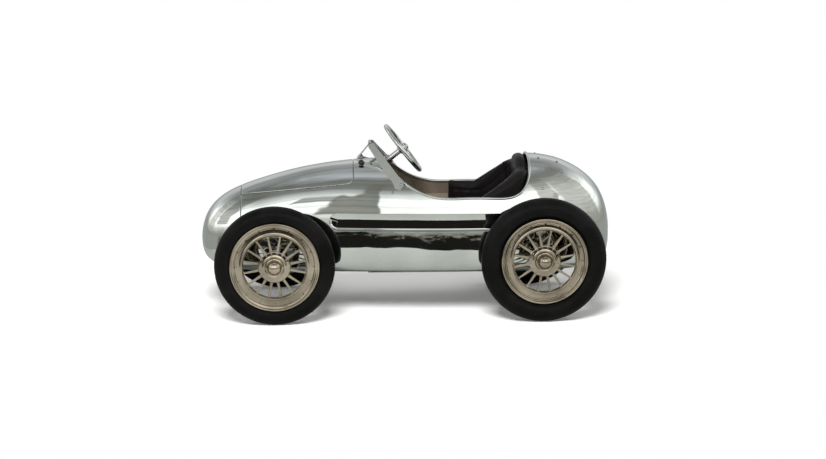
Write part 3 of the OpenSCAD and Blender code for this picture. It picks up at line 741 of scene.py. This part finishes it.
def disc_height(rim):
    """Outboard height of the pressed disc against radius, with its steps and beads blended."""
    line = np.array([
        [0, 18.5], [25, 18.5], [27, 19.6], [30, 19.6], [33, 18.0], [42, 17.4], [45, 14.2], [85.0, 15.6],
        [88.5, 19.9], [91.5, 20.3], [94.0, 17.9], [rim - 15.5, 17.9], [rim - 13, 20.9], [rim - 11, 20.9],
        [rim - 9.3, 18.0], [rim - 6.5, 18.6], [rim - 2, LIP_Z], [rim + 8, LIP_Z]])
    r = np.arange(0, rim + 8, 0.25)
    h = np.interp(r, line[:, 0], line[:, 1])
    kernel = np.exp(-0.5 * (np.arange(-12, 13) * 0.25 / 0.6) ** 2)
    h = np.convolve(np.pad(h, 12, mode="edge"), kernel / kernel.sum(), mode="valid")
    return lambda x: np.interp(x, r, h)


def outside_windows(p):
    """Distance outside the ring of windows, for points of the disc in its own frame."""
    pitch = 2 * math.pi / SPOKES
    angle = np.arctan2(p[..., 1], p[..., 0])
    folded = (angle - math.pi / 2 + pitch / 2) % pitch - pitch / 2
    r = np.hypot(p[..., 0], p[..., 1])
    x, y = r * np.cos(folded) - WINDOW_IN, np.abs(r * np.sin(folded))
    c, s = math.cos(WINDOW_SPLAY), math.sin(WINDOW_SPLAY)
    side = np.where(x * c + y * s < 0, WINDOW_HALF - np.hypot(x, y), WINDOW_HALF - (y * c - x * s))
    return -round_corner(side, WINDOW_OUT - r, 3.0)


def rim_profile(rim, bed):
    """Section of the rim channel: a well for the tyre between two rolled lips."""
    roll = 3.0
    right = np.vstack([
        [[bed - 0.4, 0], [bed - 0.4, 16.5], [bed + 1.6, 19.0]],
        arc((rim - roll, LIP_Z), roll, -90, 200, 18),
        [[bed + 0.5, 21.6], [bed - 2.4, 19.4], [bed - 2.6, 0]]])
    left = right[::-1][1:-1] * [1, -1]
    return np.vstack([right, left])


def make_wheel_mesh(name, rim, bed):
    height = disc_height(rim)

    def disc(s, u):
        return np.stack([s * np.cos(-u), s * np.sin(-u), height(s)], -1)

    radii = np.concatenate([
        np.arange(13, 42, 1.4), np.arange(42, 84, 2.1), np.arange(84, 92, 0.9), np.arange(92, rim - 17, 2.5),
        np.arange(rim - 17, rim - 2.4, 0.8)])
    angles = np.arange(480) * 2 * math.pi / 480
    patch = Patch(disc, 2 * math.pi, radii, angles, (0.05, 4e-4))
    patch.cut(outside_windows).rings(outside_windows, (0.2, 0.5, 0.9, 1.5))
    plate = patch.solid(name, DISC_SKIN, lambda p: rolled(outside_windows(p), 1.5))
    channel = fix_normals(mesh_object(name + "_rim", *lathe(rim_profile(rim, bed), 192), sharp_deg=40))
    hub_line = rounded([(BORE_R, HUB_IN), (HUB_R, HUB_IN, 1), (HUB_R, HUB_OUT, 0.6), (BORE_R, HUB_OUT)])
    hub = fix_normals(mesh_object(name + "_hub", *lathe(hub_line, 64), sharp_deg=35))
    return join([plate, channel, hub], name)


def tyre_profile(r, section, rim, bed):
    """Round section with a bead at the rim, fine sidewall rings and two shoulder grooves."""
    centre = r - section
    bead = 18.6
    start = math.degrees(math.asin(bead / section))
    angles = np.linspace(180 - start, -(180 - start), 161)
    points = []
    for a in angles:
        depth = 0.0
        for at, width, deep in ((118, 4.5, -0.7), (88, 2.0, 0.5), (38, 1.6, 0.9), (0, 1.2, 0.3)):
            depth += deep * math.exp(-((abs(a) - at) / width) ** 2)
        q = section - depth
        points.append([centre + q * math.cos(math.radians(a)), q * math.sin(math.radians(a))])
    foot = [[bed + 0.1, -16.0], [bed + 0.1, 16.0], [rim - 6, bead]]
    return np.vstack([foot, points, [[rim - 6, -bead]]])


def place_wheel(obj, x, z, side):
    """Puts a wheel made about its own Z axis on its axle, outboard face outwards."""
    n = len(obj.data.vertices)
    co = np.empty(n * 3)
    obj.data.vertices.foreach_get("co", co)
    axes = ((1, 0, 0), (0, 0, -side), (0, side, 0))
    from_local = Matrix([[axes[c][r] for c in range(3)] for r in range(3)]).to_4x4()
    from_local.translation = Vector((x, side * WHEEL_Y, z)) * MM
    obj.data.transform(from_local)
    return obj


def make_wheels():
    cap_line = np.vstack([
        rounded([(0, 0), (24, 0, 0), (24, 2.4, 1.1), (21.6, 3.2, 1.0), (20.6, 4.6, 1.0)], closed=False)[:-1],
        arc((0, 3.6), 20.3, 8, 90, 26) * [1, 0.985]])
    for end, x, r, section, rim in (
            ("front", -AXLE_X, FRONT_R, 26.0, 122.0), ("rear", AXLE_X, REAR_R, 29.0, 119.0)):
        bed = r - 2 * section
        wheel = make_wheel_mesh(f"wheel_{end}", rim, bed)
        tyre_line = tyre_profile(r, section, rim, bed)
        tyre = fix_normals(mesh_object(f"tyre_{end}", *lathe(tyre_line, 224), sharp_deg=50))
        cap = fix_normals(mesh_object(f"cap_{end}", *lathe(cap_line, 96, closed=False), sharp_deg=50))
        for v in cap.data.vertices:
            v.co.z += CAP_Z * MM
        for side, word in ((-1, "left"), (1, "right")):
            body = f"wheel_{end}_{word}" if (end, side) != ("rear", -1) else "rear_axle"
            for source, kind, material, slot, node in (
                    (wheel, "pressed_wheel", "nickel", "wheel_nickel", "wheel"),
                    (tyre, "smooth_tyre", "tyre", "tyre_rubber", "tyre"),
                    (cap, "domed_cap", "nickel", "wheel_nickel", "hub_cap")):
                copy = link(bpy.data.objects.new(f"{kind}_{end}_{word}", source.data.copy()))
                place_wheel(copy, x, r, side)
                finish_piece(copy, body, MAT[material], [f"{node}_{end}_{word}"])
        for source in (wheel, tyre, cap):
            bpy.data.objects.remove(source)


# ---------------------------------------------------------------- steering wheel
COLUMN_ANGLE = math.radians(38)
HUB = np.array([-9.0, 0.0, 451.0])


def column_frame(points, t=0.0):
    """Points given about the column, local Z down along it and X to its rear underside, in car coordinates."""
    down = np.array([-math.cos(COLUMN_ANGLE), 0, -math.sin(COLUMN_ANGLE)])
    x_axis = np.cross((0, 1, 0), down)
    return frame_points(points, HUB + t * down, x_axis, (0, 1, 0), down)


def make_steering_wheel():
    rim_r, tube, thick = 77.0, 6.1, 1.6
    ring, faces = lathe(arc((rim_r, 0), tube, 0, 340, 17), 128)
    parts = [mesh_object("steering_ring", column_frame(ring), faces)]
    boss = rounded([(0.01, -7), (15, -7, 2.5), (15, 6, 2), (11.5, 13, 2), (0.01, 13)], closed=False)
    points, faces = lathe(boss, 64, closed=False)
    parts.append(mesh_object("steering_boss", column_frame(points), faces, sharp_deg=40))
    for a in (90, 180, 270):
        turn = math.radians(a)
        along = np.linspace(9, rim_r - 3, 14)
        rows = []
        for q in along:
            flare = 4.3 + 2.2 * math.exp(-((q - 14) / 7) ** 2) + 1.6 * math.exp(-((rim_r - q - 5) / 6) ** 2)
            corners = ((-flare, -thick), (flare, -thick), (flare, thick), (-flare, thick))
            section = rounded([(*c, 1.2) for c in corners], steps=3)
            rows.append([[q * math.cos(turn) - v * math.sin(turn), q * math.sin(turn) + v * math.cos(turn), h]
                         for v, h in section])
        points = column_frame(np.array(rows).reshape(-1, 3))
        parts.append(mesh_object("steering_spoke", points, tube_faces(len(rows), len(rows[0])), sharp_deg=50))
    piece = join([fix_normals(p) for p in parts], "steering_wheel_rim")
    finish_piece(piece, "steering", MAT["bright"], ["steering_wheel"])


# ---------------------------------------------------------------- seat
def soften(obj, pressure, voxel_mm, cap_mm):
    """Swells a slightly small pad with a short cloth simulation, then smooths it."""
    select_only([obj])
    remesh = obj.modifiers.new("remesh", "REMESH")
    remesh.mode = "VOXEL"
    remesh.voxel_size = voxel_mm * MM
    bpy.ops.object.modifier_apply(modifier=remesh.name)
    start = np.array([v.co for v in obj.data.vertices])
    cloth = obj.modifiers.new("cloth", "CLOTH")
    cloth.settings.use_pressure = True
    cloth.settings.uniform_pressure_force = pressure
    cloth.settings.quality = 6
    cloth.settings.tension_stiffness = 25
    cloth.settings.compression_stiffness = 18
    cloth.settings.bending_stiffness = 2.5
    cloth.settings.effector_weights.gravity = 0
    scene = bpy.context.scene
    for f in range(1, 21):
        scene.frame_set(f)
        bpy.context.view_layer.update()
    bpy.ops.object.modifier_apply(modifier=cloth.name)
    scene.frame_set(1)
    end = np.array([v.co for v in obj.data.vertices])
    move = end - start
    far = np.linalg.norm(move, axis=1, keepdims=True)
    end = start + move * np.minimum(1, cap_mm * MM / np.maximum(far, 1e-9))
    obj.data.vertices.foreach_set("co", end.astype(np.float32).ravel())
    obj.select_set(False)
    return obj


def plain_solid(name, rows, sharp_deg=None):
    """A closed solid through rows of points, each row a closed ring."""
    points = np.array(rows, float).reshape(-1, 3)
    return fix_normals(mesh_object(name, points, tube_faces(len(rows), len(rows[0])), sharp_deg=sharp_deg))


BOLSTER_X, BOLSTER_Z, BOLSTER_RISE = 215.0, 340.0, 0.56   # the back's sides rise to the rear from here
BACK_GAP, BACK_FOOT = 5.2, 253.0    # between the back and the opening's edge, and the height of its foot
SEAM_DROP = 24.0                    # of the back's cross seam below the body's top


def make_seat():
    """Crowned cushion and wrap-round back, both swollen by a short cloth simulation."""
    low, high = (np.array(c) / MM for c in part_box("seat_cushion"))
    middle, half = (low + high) / 2, (high - low) / 2 - [3.0, 3.0, 2.5]
    rows = []
    for e in np.radians(np.arange(-84, 85, 12)):
        k = math.cos(e) ** 0.32
        a = np.arange(72) * 2 * math.pi / 72
        c, s = np.cos(a), np.sin(a)
        z = half[2] * np.sign(math.sin(e)) * abs(math.sin(e)) ** 0.7
        rows.append(np.column_stack([
            middle[0] + half[0] * k * np.sign(c) * np.abs(c) ** 0.42,
            middle[1] + half[1] * k * np.sign(s) * np.abs(s) ** 0.42, np.full(72, middle[2] + z)]))
    cushion = plain_solid("seat_cushion_pad", rows)
    soften(cushion, 4.0, 5, 7)
    top = middle[2] + 2
    shape_pad(cushion, lambda p: seat_tufts(p, middle, half, top))
    add_subdivision(cushion)
    finish_piece(cushion, "root", MAT["vinyl"], ["seat_cushion"])

    rows = []
    for a in np.radians(np.arange(-100, 100.1, 2.0)):
        t = 13 + 17 * max(0.0, math.cos(a))
        o, m, i = (opening(a, BACK_GAP + q * t) for q in (0.0, 0.5, 1.0))
        e = opening(a)
        z = max(float(top_z(e[0], e[1])) + 3.4, BOLSTER_Z + BOLSTER_RISE * (e[0] - BOLSTER_X))
        heights = np.linspace(BACK_FOOT, z - 9, 12)
        ring = [[*o, h] for h in heights]
        ring += [[*(o * 0.86 + m * 0.14), z - 4], [*(o * 0.5 + m * 0.5), z - 0.8], [*m, z],
                 [*(m * 0.5 + i * 0.5), z - 1.6], [*(m * 0.14 + i * 0.86), z - 5.5]]
        ring += [[*i, h] for h in heights[::-1] - 1.5]
        ring[-1][2] = BACK_FOOT
        rows.append(ring)
    back = plain_solid("seat_back_pad", rows)
    soften(back, 3.0, 5, 3.2)
    shape_pad(back, back_channels)
    add_subdivision(back)
    finish_piece(back, "root", MAT["vinyl"], ["seat_back"])


def add_subdivision(obj):
    """Rounds a pad once more and shades it smooth."""
    select_only([obj])
    smooth = obj.modifiers.new("subdivision", "SUBSURF")
    smooth.levels = smooth.render_levels = 1
    bpy.ops.object.modifier_apply(modifier=smooth.name)
    obj.data.polygons.foreach_set("use_smooth", [True] * len(obj.data.polygons))
    obj.select_set(False)


def shape_pad(obj, sink):
    """Presses seams into a pad: sink(points) gives each point's movement in millimetres."""
    co = np.array([v.co for v in obj.data.vertices]) / MM
    co += sink(co)
    obj.data.vertices.foreach_set("co", (co * MM).astype(np.float32).ravel())
    obj.data.update()


def groove(distance, depth, width):
    """Depth of a soft seam at a distance from its middle."""
    return depth * np.exp(-(distance / width) ** 2)


def seat_tufts(p, middle, half, top):
    """Lengthwise sewn channels on the cushion's top, and a piped border round them."""
    q = np.abs(p - middle) / half
    border = (1 - np.maximum(q[:, 0], q[:, 1])) * min(half[:2])
    inside = np.clip((border - 14) / 6, 0, 1)
    on_top = np.clip((p[:, 2] - top) / 6, 0, 1)
    pitch = 26.0
    off = (p[:, 1] - middle[1] + pitch / 2) % pitch - pitch / 2
    down = inside * groove(off, 3.2, 2.6) + groove(border - 13, 2.4, 2.4)
    return np.column_stack([np.zeros(len(p)), np.zeros(len(p)), -on_top * down])


def back_channels(p):
    """Upright sewn flutes round the inside of the back, below a plain top roll."""
    away = p[:, :2] - [COCKPIT_X - 40, 0]
    r = np.linalg.norm(away, axis=1)
    angle = np.arctan2(away[:, 1], away[:, 0])
    e = opening(angle)
    crown = top_z(e[:, 0], e[:, 1])
    inner = np.clip((np.hypot(e[:, 0] - p[:, 0], e[:, 1] - p[:, 1]) - 12) / 5, 0, 1)
    seam = crown - SEAM_DROP
    below = np.clip((seam - p[:, 2]) / 6, 0, 1)
    pitch = math.radians(11)
    off = ((angle + pitch / 2) % pitch - pitch / 2) * r
    depth = inner * (below * groove(off, 2.6, 2.6) + groove(p[:, 2] - seam, 2.4, 2.4))
    return np.column_stack([away / r[:, None] * depth[:, None], np.zeros(len(p))])


# ---------------------------------------------------------------- drive and pedals
def drive_numbers():
    """Crank and axle centres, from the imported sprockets."""
    front_low, front_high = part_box("front_sprocket")
    rear_low, rear_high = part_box("rear_sprocket")
    return (np.array(front_low + front_high) / 2 / MM, np.array(rear_low + rear_high) / 2 / MM)


PITCH, TEETH, RUN_LINKS = 12.7, 18, 45
PLATE_END_R, PLATE_WAIST = 3.9, 2.9     # of a link plate: radius at its ends, half width in its middle
ROLLER_R, PIN_R, CHAMFER = 3.7, 1.5, 0.3


def make_chain():
    """Roller chain: waisted inner and outer plates, rollers and pins, link by link."""
    crank, axle = drive_numbers()
    pitch_r = PITCH / (2 * math.sin(math.pi / TEETH))
    along = axle - crank
    x_axis = along / np.linalg.norm(along)
    z_axis = np.array([0.0, 1.0, 0.0])
    y_axis = np.cross(z_axis, x_axis)
    if y_axis[2] < 0:
        y_axis, z_axis = -y_axis, -z_axis
    length = RUN_LINKS * PITCH
    wrap = 2 * math.pi / TEETH

    def half_turn(x, start):
        angles = [start - k * wrap for k in range(TEETH // 2)]
        return [(x + pitch_r * math.cos(t), pitch_r * math.sin(t)) for t in angles]

    points = [(k * PITCH, pitch_r) for k in range(RUN_LINKS)] + half_turn(length, math.pi / 2)
    points += [(length - k * PITCH, -pitch_r) for k in range(RUN_LINKS)] + half_turn(0, 1.5 * math.pi)
    all_points, all_faces = [], []

    def add(pts, faces):
        base = sum(len(p) for p in all_points)
        all_points.append(np.asarray(pts, float))
        all_faces.extend([[v + base for v in f] for f in faces])

    def round_bar(centre, r, z0, z1, sides=16):
        a = np.arange(sides) * 2 * math.pi / sides
        ring = np.column_stack([centre[0] + r * np.cos(a), centre[1] + r * np.sin(a)])
        inner = np.array(centre) + (ring - centre) * (r - CHAMFER) / r
        rows = [np.column_stack([g, np.full(sides, z)]) for g, z in
                ((inner, z0), (ring, z0 + CHAMFER), (ring, z1 - CHAMFER), (inner, z1))]
        add(np.vstack(rows), tube_faces(len(rows), sides))

    def plate(a, b, z0, z1):
        a, b = np.array(a), np.array(b)
        d = (b - a) / np.linalg.norm(b - a)
        side = np.array([-d[1], d[0]])
        outline = []
        for centre, sign in ((b, 1), (a, -1)):
            for t in np.radians(np.linspace(-125, 125, 13)):
                outline.append(centre + PLATE_END_R * sign * (d * math.cos(t) + side * math.sin(t)))
            outline.append((a + b) / 2 + side * sign * PLATE_WAIST)
        n = len(outline)
        rows = [np.column_stack([np.array(outline), np.full(n, z)]) for z in (z0, z1)]
        add(np.vstack(rows), tube_faces(2, n))

    for i, p in enumerate(points):
        q = points[(i + 1) % len(points)]
        near, far = (2.35, 3.3) if i % 2 else (3.35, 4.25)
        for s in (-1, 1):
            plate(p, q, *sorted((s * near, s * far)))
        round_bar(p, ROLLER_R, -2.3, 2.3)
        round_bar(p, PIN_R, -4.7, 4.7, 10)
    placed = frame_points(np.vstack(all_points), crank, x_axis, y_axis, z_axis)
    piece = fix_normals(mesh_object("roller_chain", placed, all_faces, sharp_deg=35))
    finish_piece(piece, "root", MAT["steel"], ["chain"])


PEDAL_THICK, PEDAL_BOSS, PEDAL_GROOVE = 7.0, 12.0, 2.2   # half thickness, boss radius, groove depth


def pedal_outline(x_half):
    """Side view of a pedal block: two cross grooves each side of a round boss, top and bottom."""
    right = [(x_half, 4.6, 1.5), (x_half - 1.6, PEDAL_THICK, 1.2)]
    floor = PEDAL_THICK - PEDAL_GROOVE
    for x in (x_half - 9, x_half - 17):
        right += [(x + 1.5, PEDAL_THICK, 0.5), (x + 0.8, floor, 0.5), (x - 0.8, floor, 0.5),
                  (x - 1.5, PEDAL_THICK, 0.5)]
    round_top = [tuple(q) for q in arc((0, 0), PEDAL_BOSS, 37, 143, 16)]
    left = [(-x, z, r) for x, z, r in right[::-1]]
    upper = right + round_top + left
    return rounded(upper + [(-q[0], -q[1], *q[2:]) for q in upper], steps=3)


def make_pedals():
    """Grooved rubber blocks with rounded edges."""
    for word in ("left", "right"):
        low, high = (np.array(c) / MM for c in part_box(f"pedal_{word}"))
        middle, half = (low + high) / 2, (high - low) / 2
        x_half, y_half = half[0] - 0.2, half[1] - 0.1
        profile = pedal_outline(x_half)
        rows = []
        for y, inset in (
                (-y_half, 1.2), (-y_half + 0.4, 0.35), (-y_half + 1.2, 0.0),
                (y_half - 1.2, 0.0), (y_half - 0.4, 0.35), (y_half, 1.2)):
            shrunk = profile * [(x_half - inset) / x_half, (PEDAL_BOSS - inset) / PEDAL_BOSS]
            rows.append(np.column_stack([shrunk[:, 0], np.full(len(shrunk), y), shrunk[:, 1]]) + middle)
        piece = plain_solid(f"pedal_block_{word}", rows, sharp_deg=40)
        finish_piece(piece, f"pedal_{word}", MAT["rubber"], [f"pedal_{word}"])


# ---------------------------------------------------------------- carried-over nodes
def dress(names, material, bevel=0.0):
    """Materials, and small worn edges where they show, on nodes that keep their design shape."""
    for name in names:
        obj = NODES[name]
        while len(obj.data.materials) < 1:
            obj.data.materials.append(None)
        for i in range(len(obj.data.materials)):
            obj.data.materials[i] = material
        if bevel:
            m = obj.modifiers.new("edge_round", "BEVEL")
            m.width, m.segments, m.limit_method = bevel * MM, 2, "ANGLE"
            m.angle_limit = math.radians(30)


def both(*names):
    """The left and the right node of each name."""
    return [f"{n}_{side}" for n in names for side in ("left", "right")]


def make_carried():
    dress(both("stay"), MAT["bright"], 0.7)
    dress(["stay_strut", "steering_nut", "steering_column"], MAT["bright"])
    dress(["stay_knobs"], MAT["rubber"])
    dress(["body_screws"], MAT["steel"])
    dress(["dash_panel", "seat_pan"], MAT["bare"], 0.4)
    dress(["belly_pan"], MAT["body"], 0.5)
    dress(both("frame_rail", "crank_hanger"), MAT["frame"], 1.0)
    dress(["cross_member_front", "cross_member_middle", "cross_member_rear", "chain_guard"], MAT["frame"], 0.8)
    dress(["front_axle_beam", "crankshaft", "track_rod", "column_bush", "rear_axle"] + both(
        "knuckle", "kingpin", "axle_bearing", "stub_nut"), MAT["steel"], 0.5)
    dress(["rear_axle_nuts", "front_sprocket", "rear_sprocket"], MAT["steel"], 0.3)
    dress(both("rivets_front", "rivets_rear"), MAT["nickel"], 0.6)


# ---------------------------------------------------------------- studio
AMBIENT = 0.34          # what dull surfaces get from all round
SKY_LOW = -0.4
FLOOR_TONE, ROOM_TONE = (0.40, 0.41, 0.37, 1), (0.40, 0.41, 0.42, 1)    # to the sides and behind the car
SKY = (                 # sine of the elevation, brightness there
    (-0.40, (0.015, 0.014, 0.013)), (-0.045, (0.015, 0.014, 0.013)), (-0.03, (0.24, 0.23, 0.20)),
    (0.03, (0.38, 0.38, 0.33)), (0.10, (0.50, 0.51, 0.46)), (0.19, (0.82, 0.84, 0.79)),
    (0.29, (1.55, 1.57, 1.52)), (0.55, (1.75, 1.76, 1.74)), (0.70, (0.72, 0.74, 0.74)),
    (0.80, (0.28, 0.28, 0.27)), (0.93, (0.24, 0.24, 0.23)), (1.00, (0.52, 0.54, 0.57)))
# Things standing round the car, seen only in its polish: azimuth from the left side towards the tail,
# half width, lowest and highest sine of the elevation, brightness, and how much they cover.
STANDING = (
    (-0.23, 0.045, 0.27, 0.88, 0.22, 0.90), (-0.33, 0.05, 0.52, 0.62, 0.24, 0.80),
    (0.62, 0.12, 0.10, 0.80, 0.34, 0.70), (1.15, 0.42, 0.05, 0.84, 0.42, 0.72),
    (-0.95, 0.22, 0.30, 0.90, 0.20, 0.70), (-1.50, 0.25, 0.10, 0.80, 0.50, 0.65))


def make_world():
    """White to the camera. Mirrors see a lit front wall, a dim ceiling and a dark strip at the floor's end."""
    world = bpy.data.worlds.new("studio")
    bpy.context.scene.world = world
    world.use_nodes = True
    tree = world.node_tree
    tree.nodes.clear()

    def new(kind, inputs=None, **settings):
        return add_node(tree, kind, inputs, **settings)

    def calc(operation, a, b=0.0):
        return new("ShaderNodeMath", {0: a, 1: b}, operation=operation).outputs[0]

    def times(a, b):
        return calc("MULTIPLY", a, b)

    def opposite(a):
        return calc("SUBTRACT", 1.0, a)

    def fade(value, start, end):
        """0 up to start, 1 from end, smooth between."""
        return new("ShaderNodeMapRange", {"Value": value, "From Min": start, "From Max": end},
                   interpolation_type="SMOOTHSTEP").outputs[0]

    def noise(scale, detail, rough, stretch):
        place = new("ShaderNodeVectorMath", {0: direction, 1: stretch}, operation="MULTIPLY").outputs[0]
        fac = new("ShaderNodeTexNoise", {
            "Vector": place, "Scale": scale, "Detail": detail, "Roughness": rough}).outputs["Fac"]
        return calc("SUBTRACT", fac, 0.5)

    def blend(fac, a, b):
        return new("ShaderNodeMix", {"Factor": fac, 6: a, 7: b}, data_type="RGBA").outputs[2]

    direction = new("ShaderNodeTexCoord").outputs["Generated"]
    split = new("ShaderNodeSeparateXYZ", {"Vector": direction})
    height = split.outputs["Z"]
    azimuth = calc("ARCTAN2", split.outputs["X"], times(split.outputs["Y"], -1.0))
    up = fade(height, 0.08, 0.3)
    down = opposite(up)
    jagged = times(noise(21.0, 9.0, 0.74, (1, 1, 0.8)), times(down, 0.42))
    slope = times(fade(azimuth, -0.3, 0.45), times(down, 0.02))
    drift = times(noise(2.3, 3.0, 0.5, (1, 1, 1)), times(up, 0.26))
    level = calc("ADD", calc("ADD", calc("ADD", height, slope), jagged), drift)
    share = new("ShaderNodeMapRange", {"Value": level, "From Min": SKY_LOW, "From Max": 1.0}).outputs[0]
    ramp = new("ShaderNodeValToRGB", {"Fac": share})
    elements = ramp.color_ramp.elements
    while len(elements) < len(SKY):
        elements.new(0.5)
    for element, (at, colour) in zip(elements, SKY):
        element.position = (at - SKY_LOW) / (1 - SKY_LOW)
        element.color = (*colour, 1)
    aside = fade(calc("ABSOLUTE", azimuth), 0.75, 1.0)
    beyond = times(aside, opposite(fade(height, -0.04, 0.08)))
    colour = blend(beyond, ramp.outputs[0], FLOOR_TONE)
    behind = times(fade(calc("ABSOLUTE", azimuth), 1.75, 2.3), 0.75)
    colour = blend(behind, colour, ROOM_TONE)
    streaks = calc("ADD", 1.0, times(noise(1.6, 4.0, 0.6, (1, 1, 17)), times(up, 1.1)))
    ragged = noise(7.0, 5.0, 0.6, (1, 1, 0.5))
    for centre, half, low, high, shade, cover in STANDING:
        off = calc("ADD", calc("ABSOLUTE", calc("SUBTRACT", azimuth, centre)), times(ragged, half))
        wide = opposite(fade(off, half * 0.85, half * 1.15))
        over = fade(height, low - 0.02, low + 0.02)
        under = opposite(fade(height, high - 0.03, high + 0.03))
        inside = times(wide, times(over, under))
        colour = blend(times(inside, cover), colour, (shade, shade, shade * 0.88, 1))
    seen = new("ShaderNodeBackground", {"Color": (1, 1, 1, 1), "Strength": 1.0}).outputs[0]
    mirrored = new("ShaderNodeBackground", {"Color": colour, "Strength": streaks}).outputs[0]
    ambient = new("ShaderNodeBackground", {"Color": (1, 1, 0.98, 1), "Strength": AMBIENT}).outputs[0]
    path = new("ShaderNodeLightPath")
    mix = new("ShaderNodeMixShader", {0: path.outputs["Is Glossy Ray"], 1: ambient, 2: mirrored}).outputs[0]
    mix = new("ShaderNodeMixShader", {0: path.outputs["Is Camera Ray"], 1: mix, 2: seen}).outputs[0]
    new("ShaderNodeOutputWorld", {"Surface": mix})


def make_floor():
    """A round pale floor. Mirrors see it dimmer than the camera does."""
    n = Nodes("studio_floor")
    tone = n.noise(1.5, 2.0)
    pale = n.mix_colour(tone, (0.88, 0.88, 0.88), (0.91, 0.91, 0.91))
    bright = n.new("ShaderNodeBsdfDiffuse", {"Color": pale})
    lift = n.new("ShaderNodeEmission", {"Color": (1, 0.985, 0.96, 1), "Strength": 0.10})
    shown = n.new("ShaderNodeAddShader", {0: bright.outputs[0], 1: lift.outputs[0]})
    grey = n.mix_colour(tone, (0.36, 0.37, 0.35), (0.42, 0.43, 0.41))
    dim = n.new("ShaderNodeBsdfDiffuse", {"Color": grey})
    camera_ray = n.new("ShaderNodeLightPath").outputs["Is Camera Ray"]
    mix = n.new("ShaderNodeMixShader", {0: camera_ray, 1: dim.outputs[0], 2: shown.outputs[0]})
    n.tree.links.new(mix.outputs[0], n.tree.nodes["Material Output"].inputs["Surface"])
    radius, steps = 1270.0, 128
    a = np.arange(steps) * 2 * math.pi / steps
    rim = np.column_stack([radius * np.cos(a), radius * np.sin(a), np.zeros(steps)])
    floor = mesh_object("studio_floor", np.vstack([[[0, 0, 0]], rim]),
                        [[0, 1 + i, 1 + (i + 1) % steps] for i in range(steps)])
    floor.data.materials.append(n.material)


def aim(obj, place, target):
    """Puts an object somewhere, facing a target."""
    obj.location = place
    obj.rotation_mode = "QUATERNION"
    obj.rotation_quaternion = (Vector(target) - Vector(place)).to_track_quat("-Z", "Y")


def make_lights():
    """A soft key from the front, so the shadow falls behind, and a weak top light. Mirrors don't see them."""
    for name, place, size, power in (
            ("soft_key", (-0.5, -3.0, 3.3), 1.7, 250), ("soft_top", (0.1, 0.2, 2.8), 2.6, 22)):
        light = bpy.data.lights.new(name, "AREA")
        light.shape, light.size, light.energy = "DISK", size, power
        obj = link(bpy.data.objects.new(name, light))
        obj.visible_glossy = False
        aim(obj, place, (0, 0, 0.2))


def make_camera():
    azimuth, elevation, distance = math.radians(-3), math.radians(12), 4.5
    target = Vector((0.0195, 0, 0.216))
    back = Vector((math.sin(azimuth) * math.cos(elevation), -math.cos(azimuth) * math.cos(elevation),
                   math.sin(elevation)))
    camera = bpy.data.cameras.new("camera")
    camera.sensor_width = 36.0
    camera.lens = 68.9
    camera.clip_end = 60
    obj = link(bpy.data.objects.new("camera", camera))
    aim(obj, target + back * distance, target)
    bpy.context.scene.camera = obj


def make_view():
    """Colours as they are, without a film look."""
    settings = bpy.context.scene.view_settings
    settings.view_transform = "Standard"
    settings.look = "None"
    settings.exposure, settings.gamma = 0.0, 1.0


make_camera()
make_view()
make_world()
make_floor()
make_lights()
make_body()
make_wheels()
make_steering_wheel()
make_seat()
make_chain()
make_pedals()
make_carried()
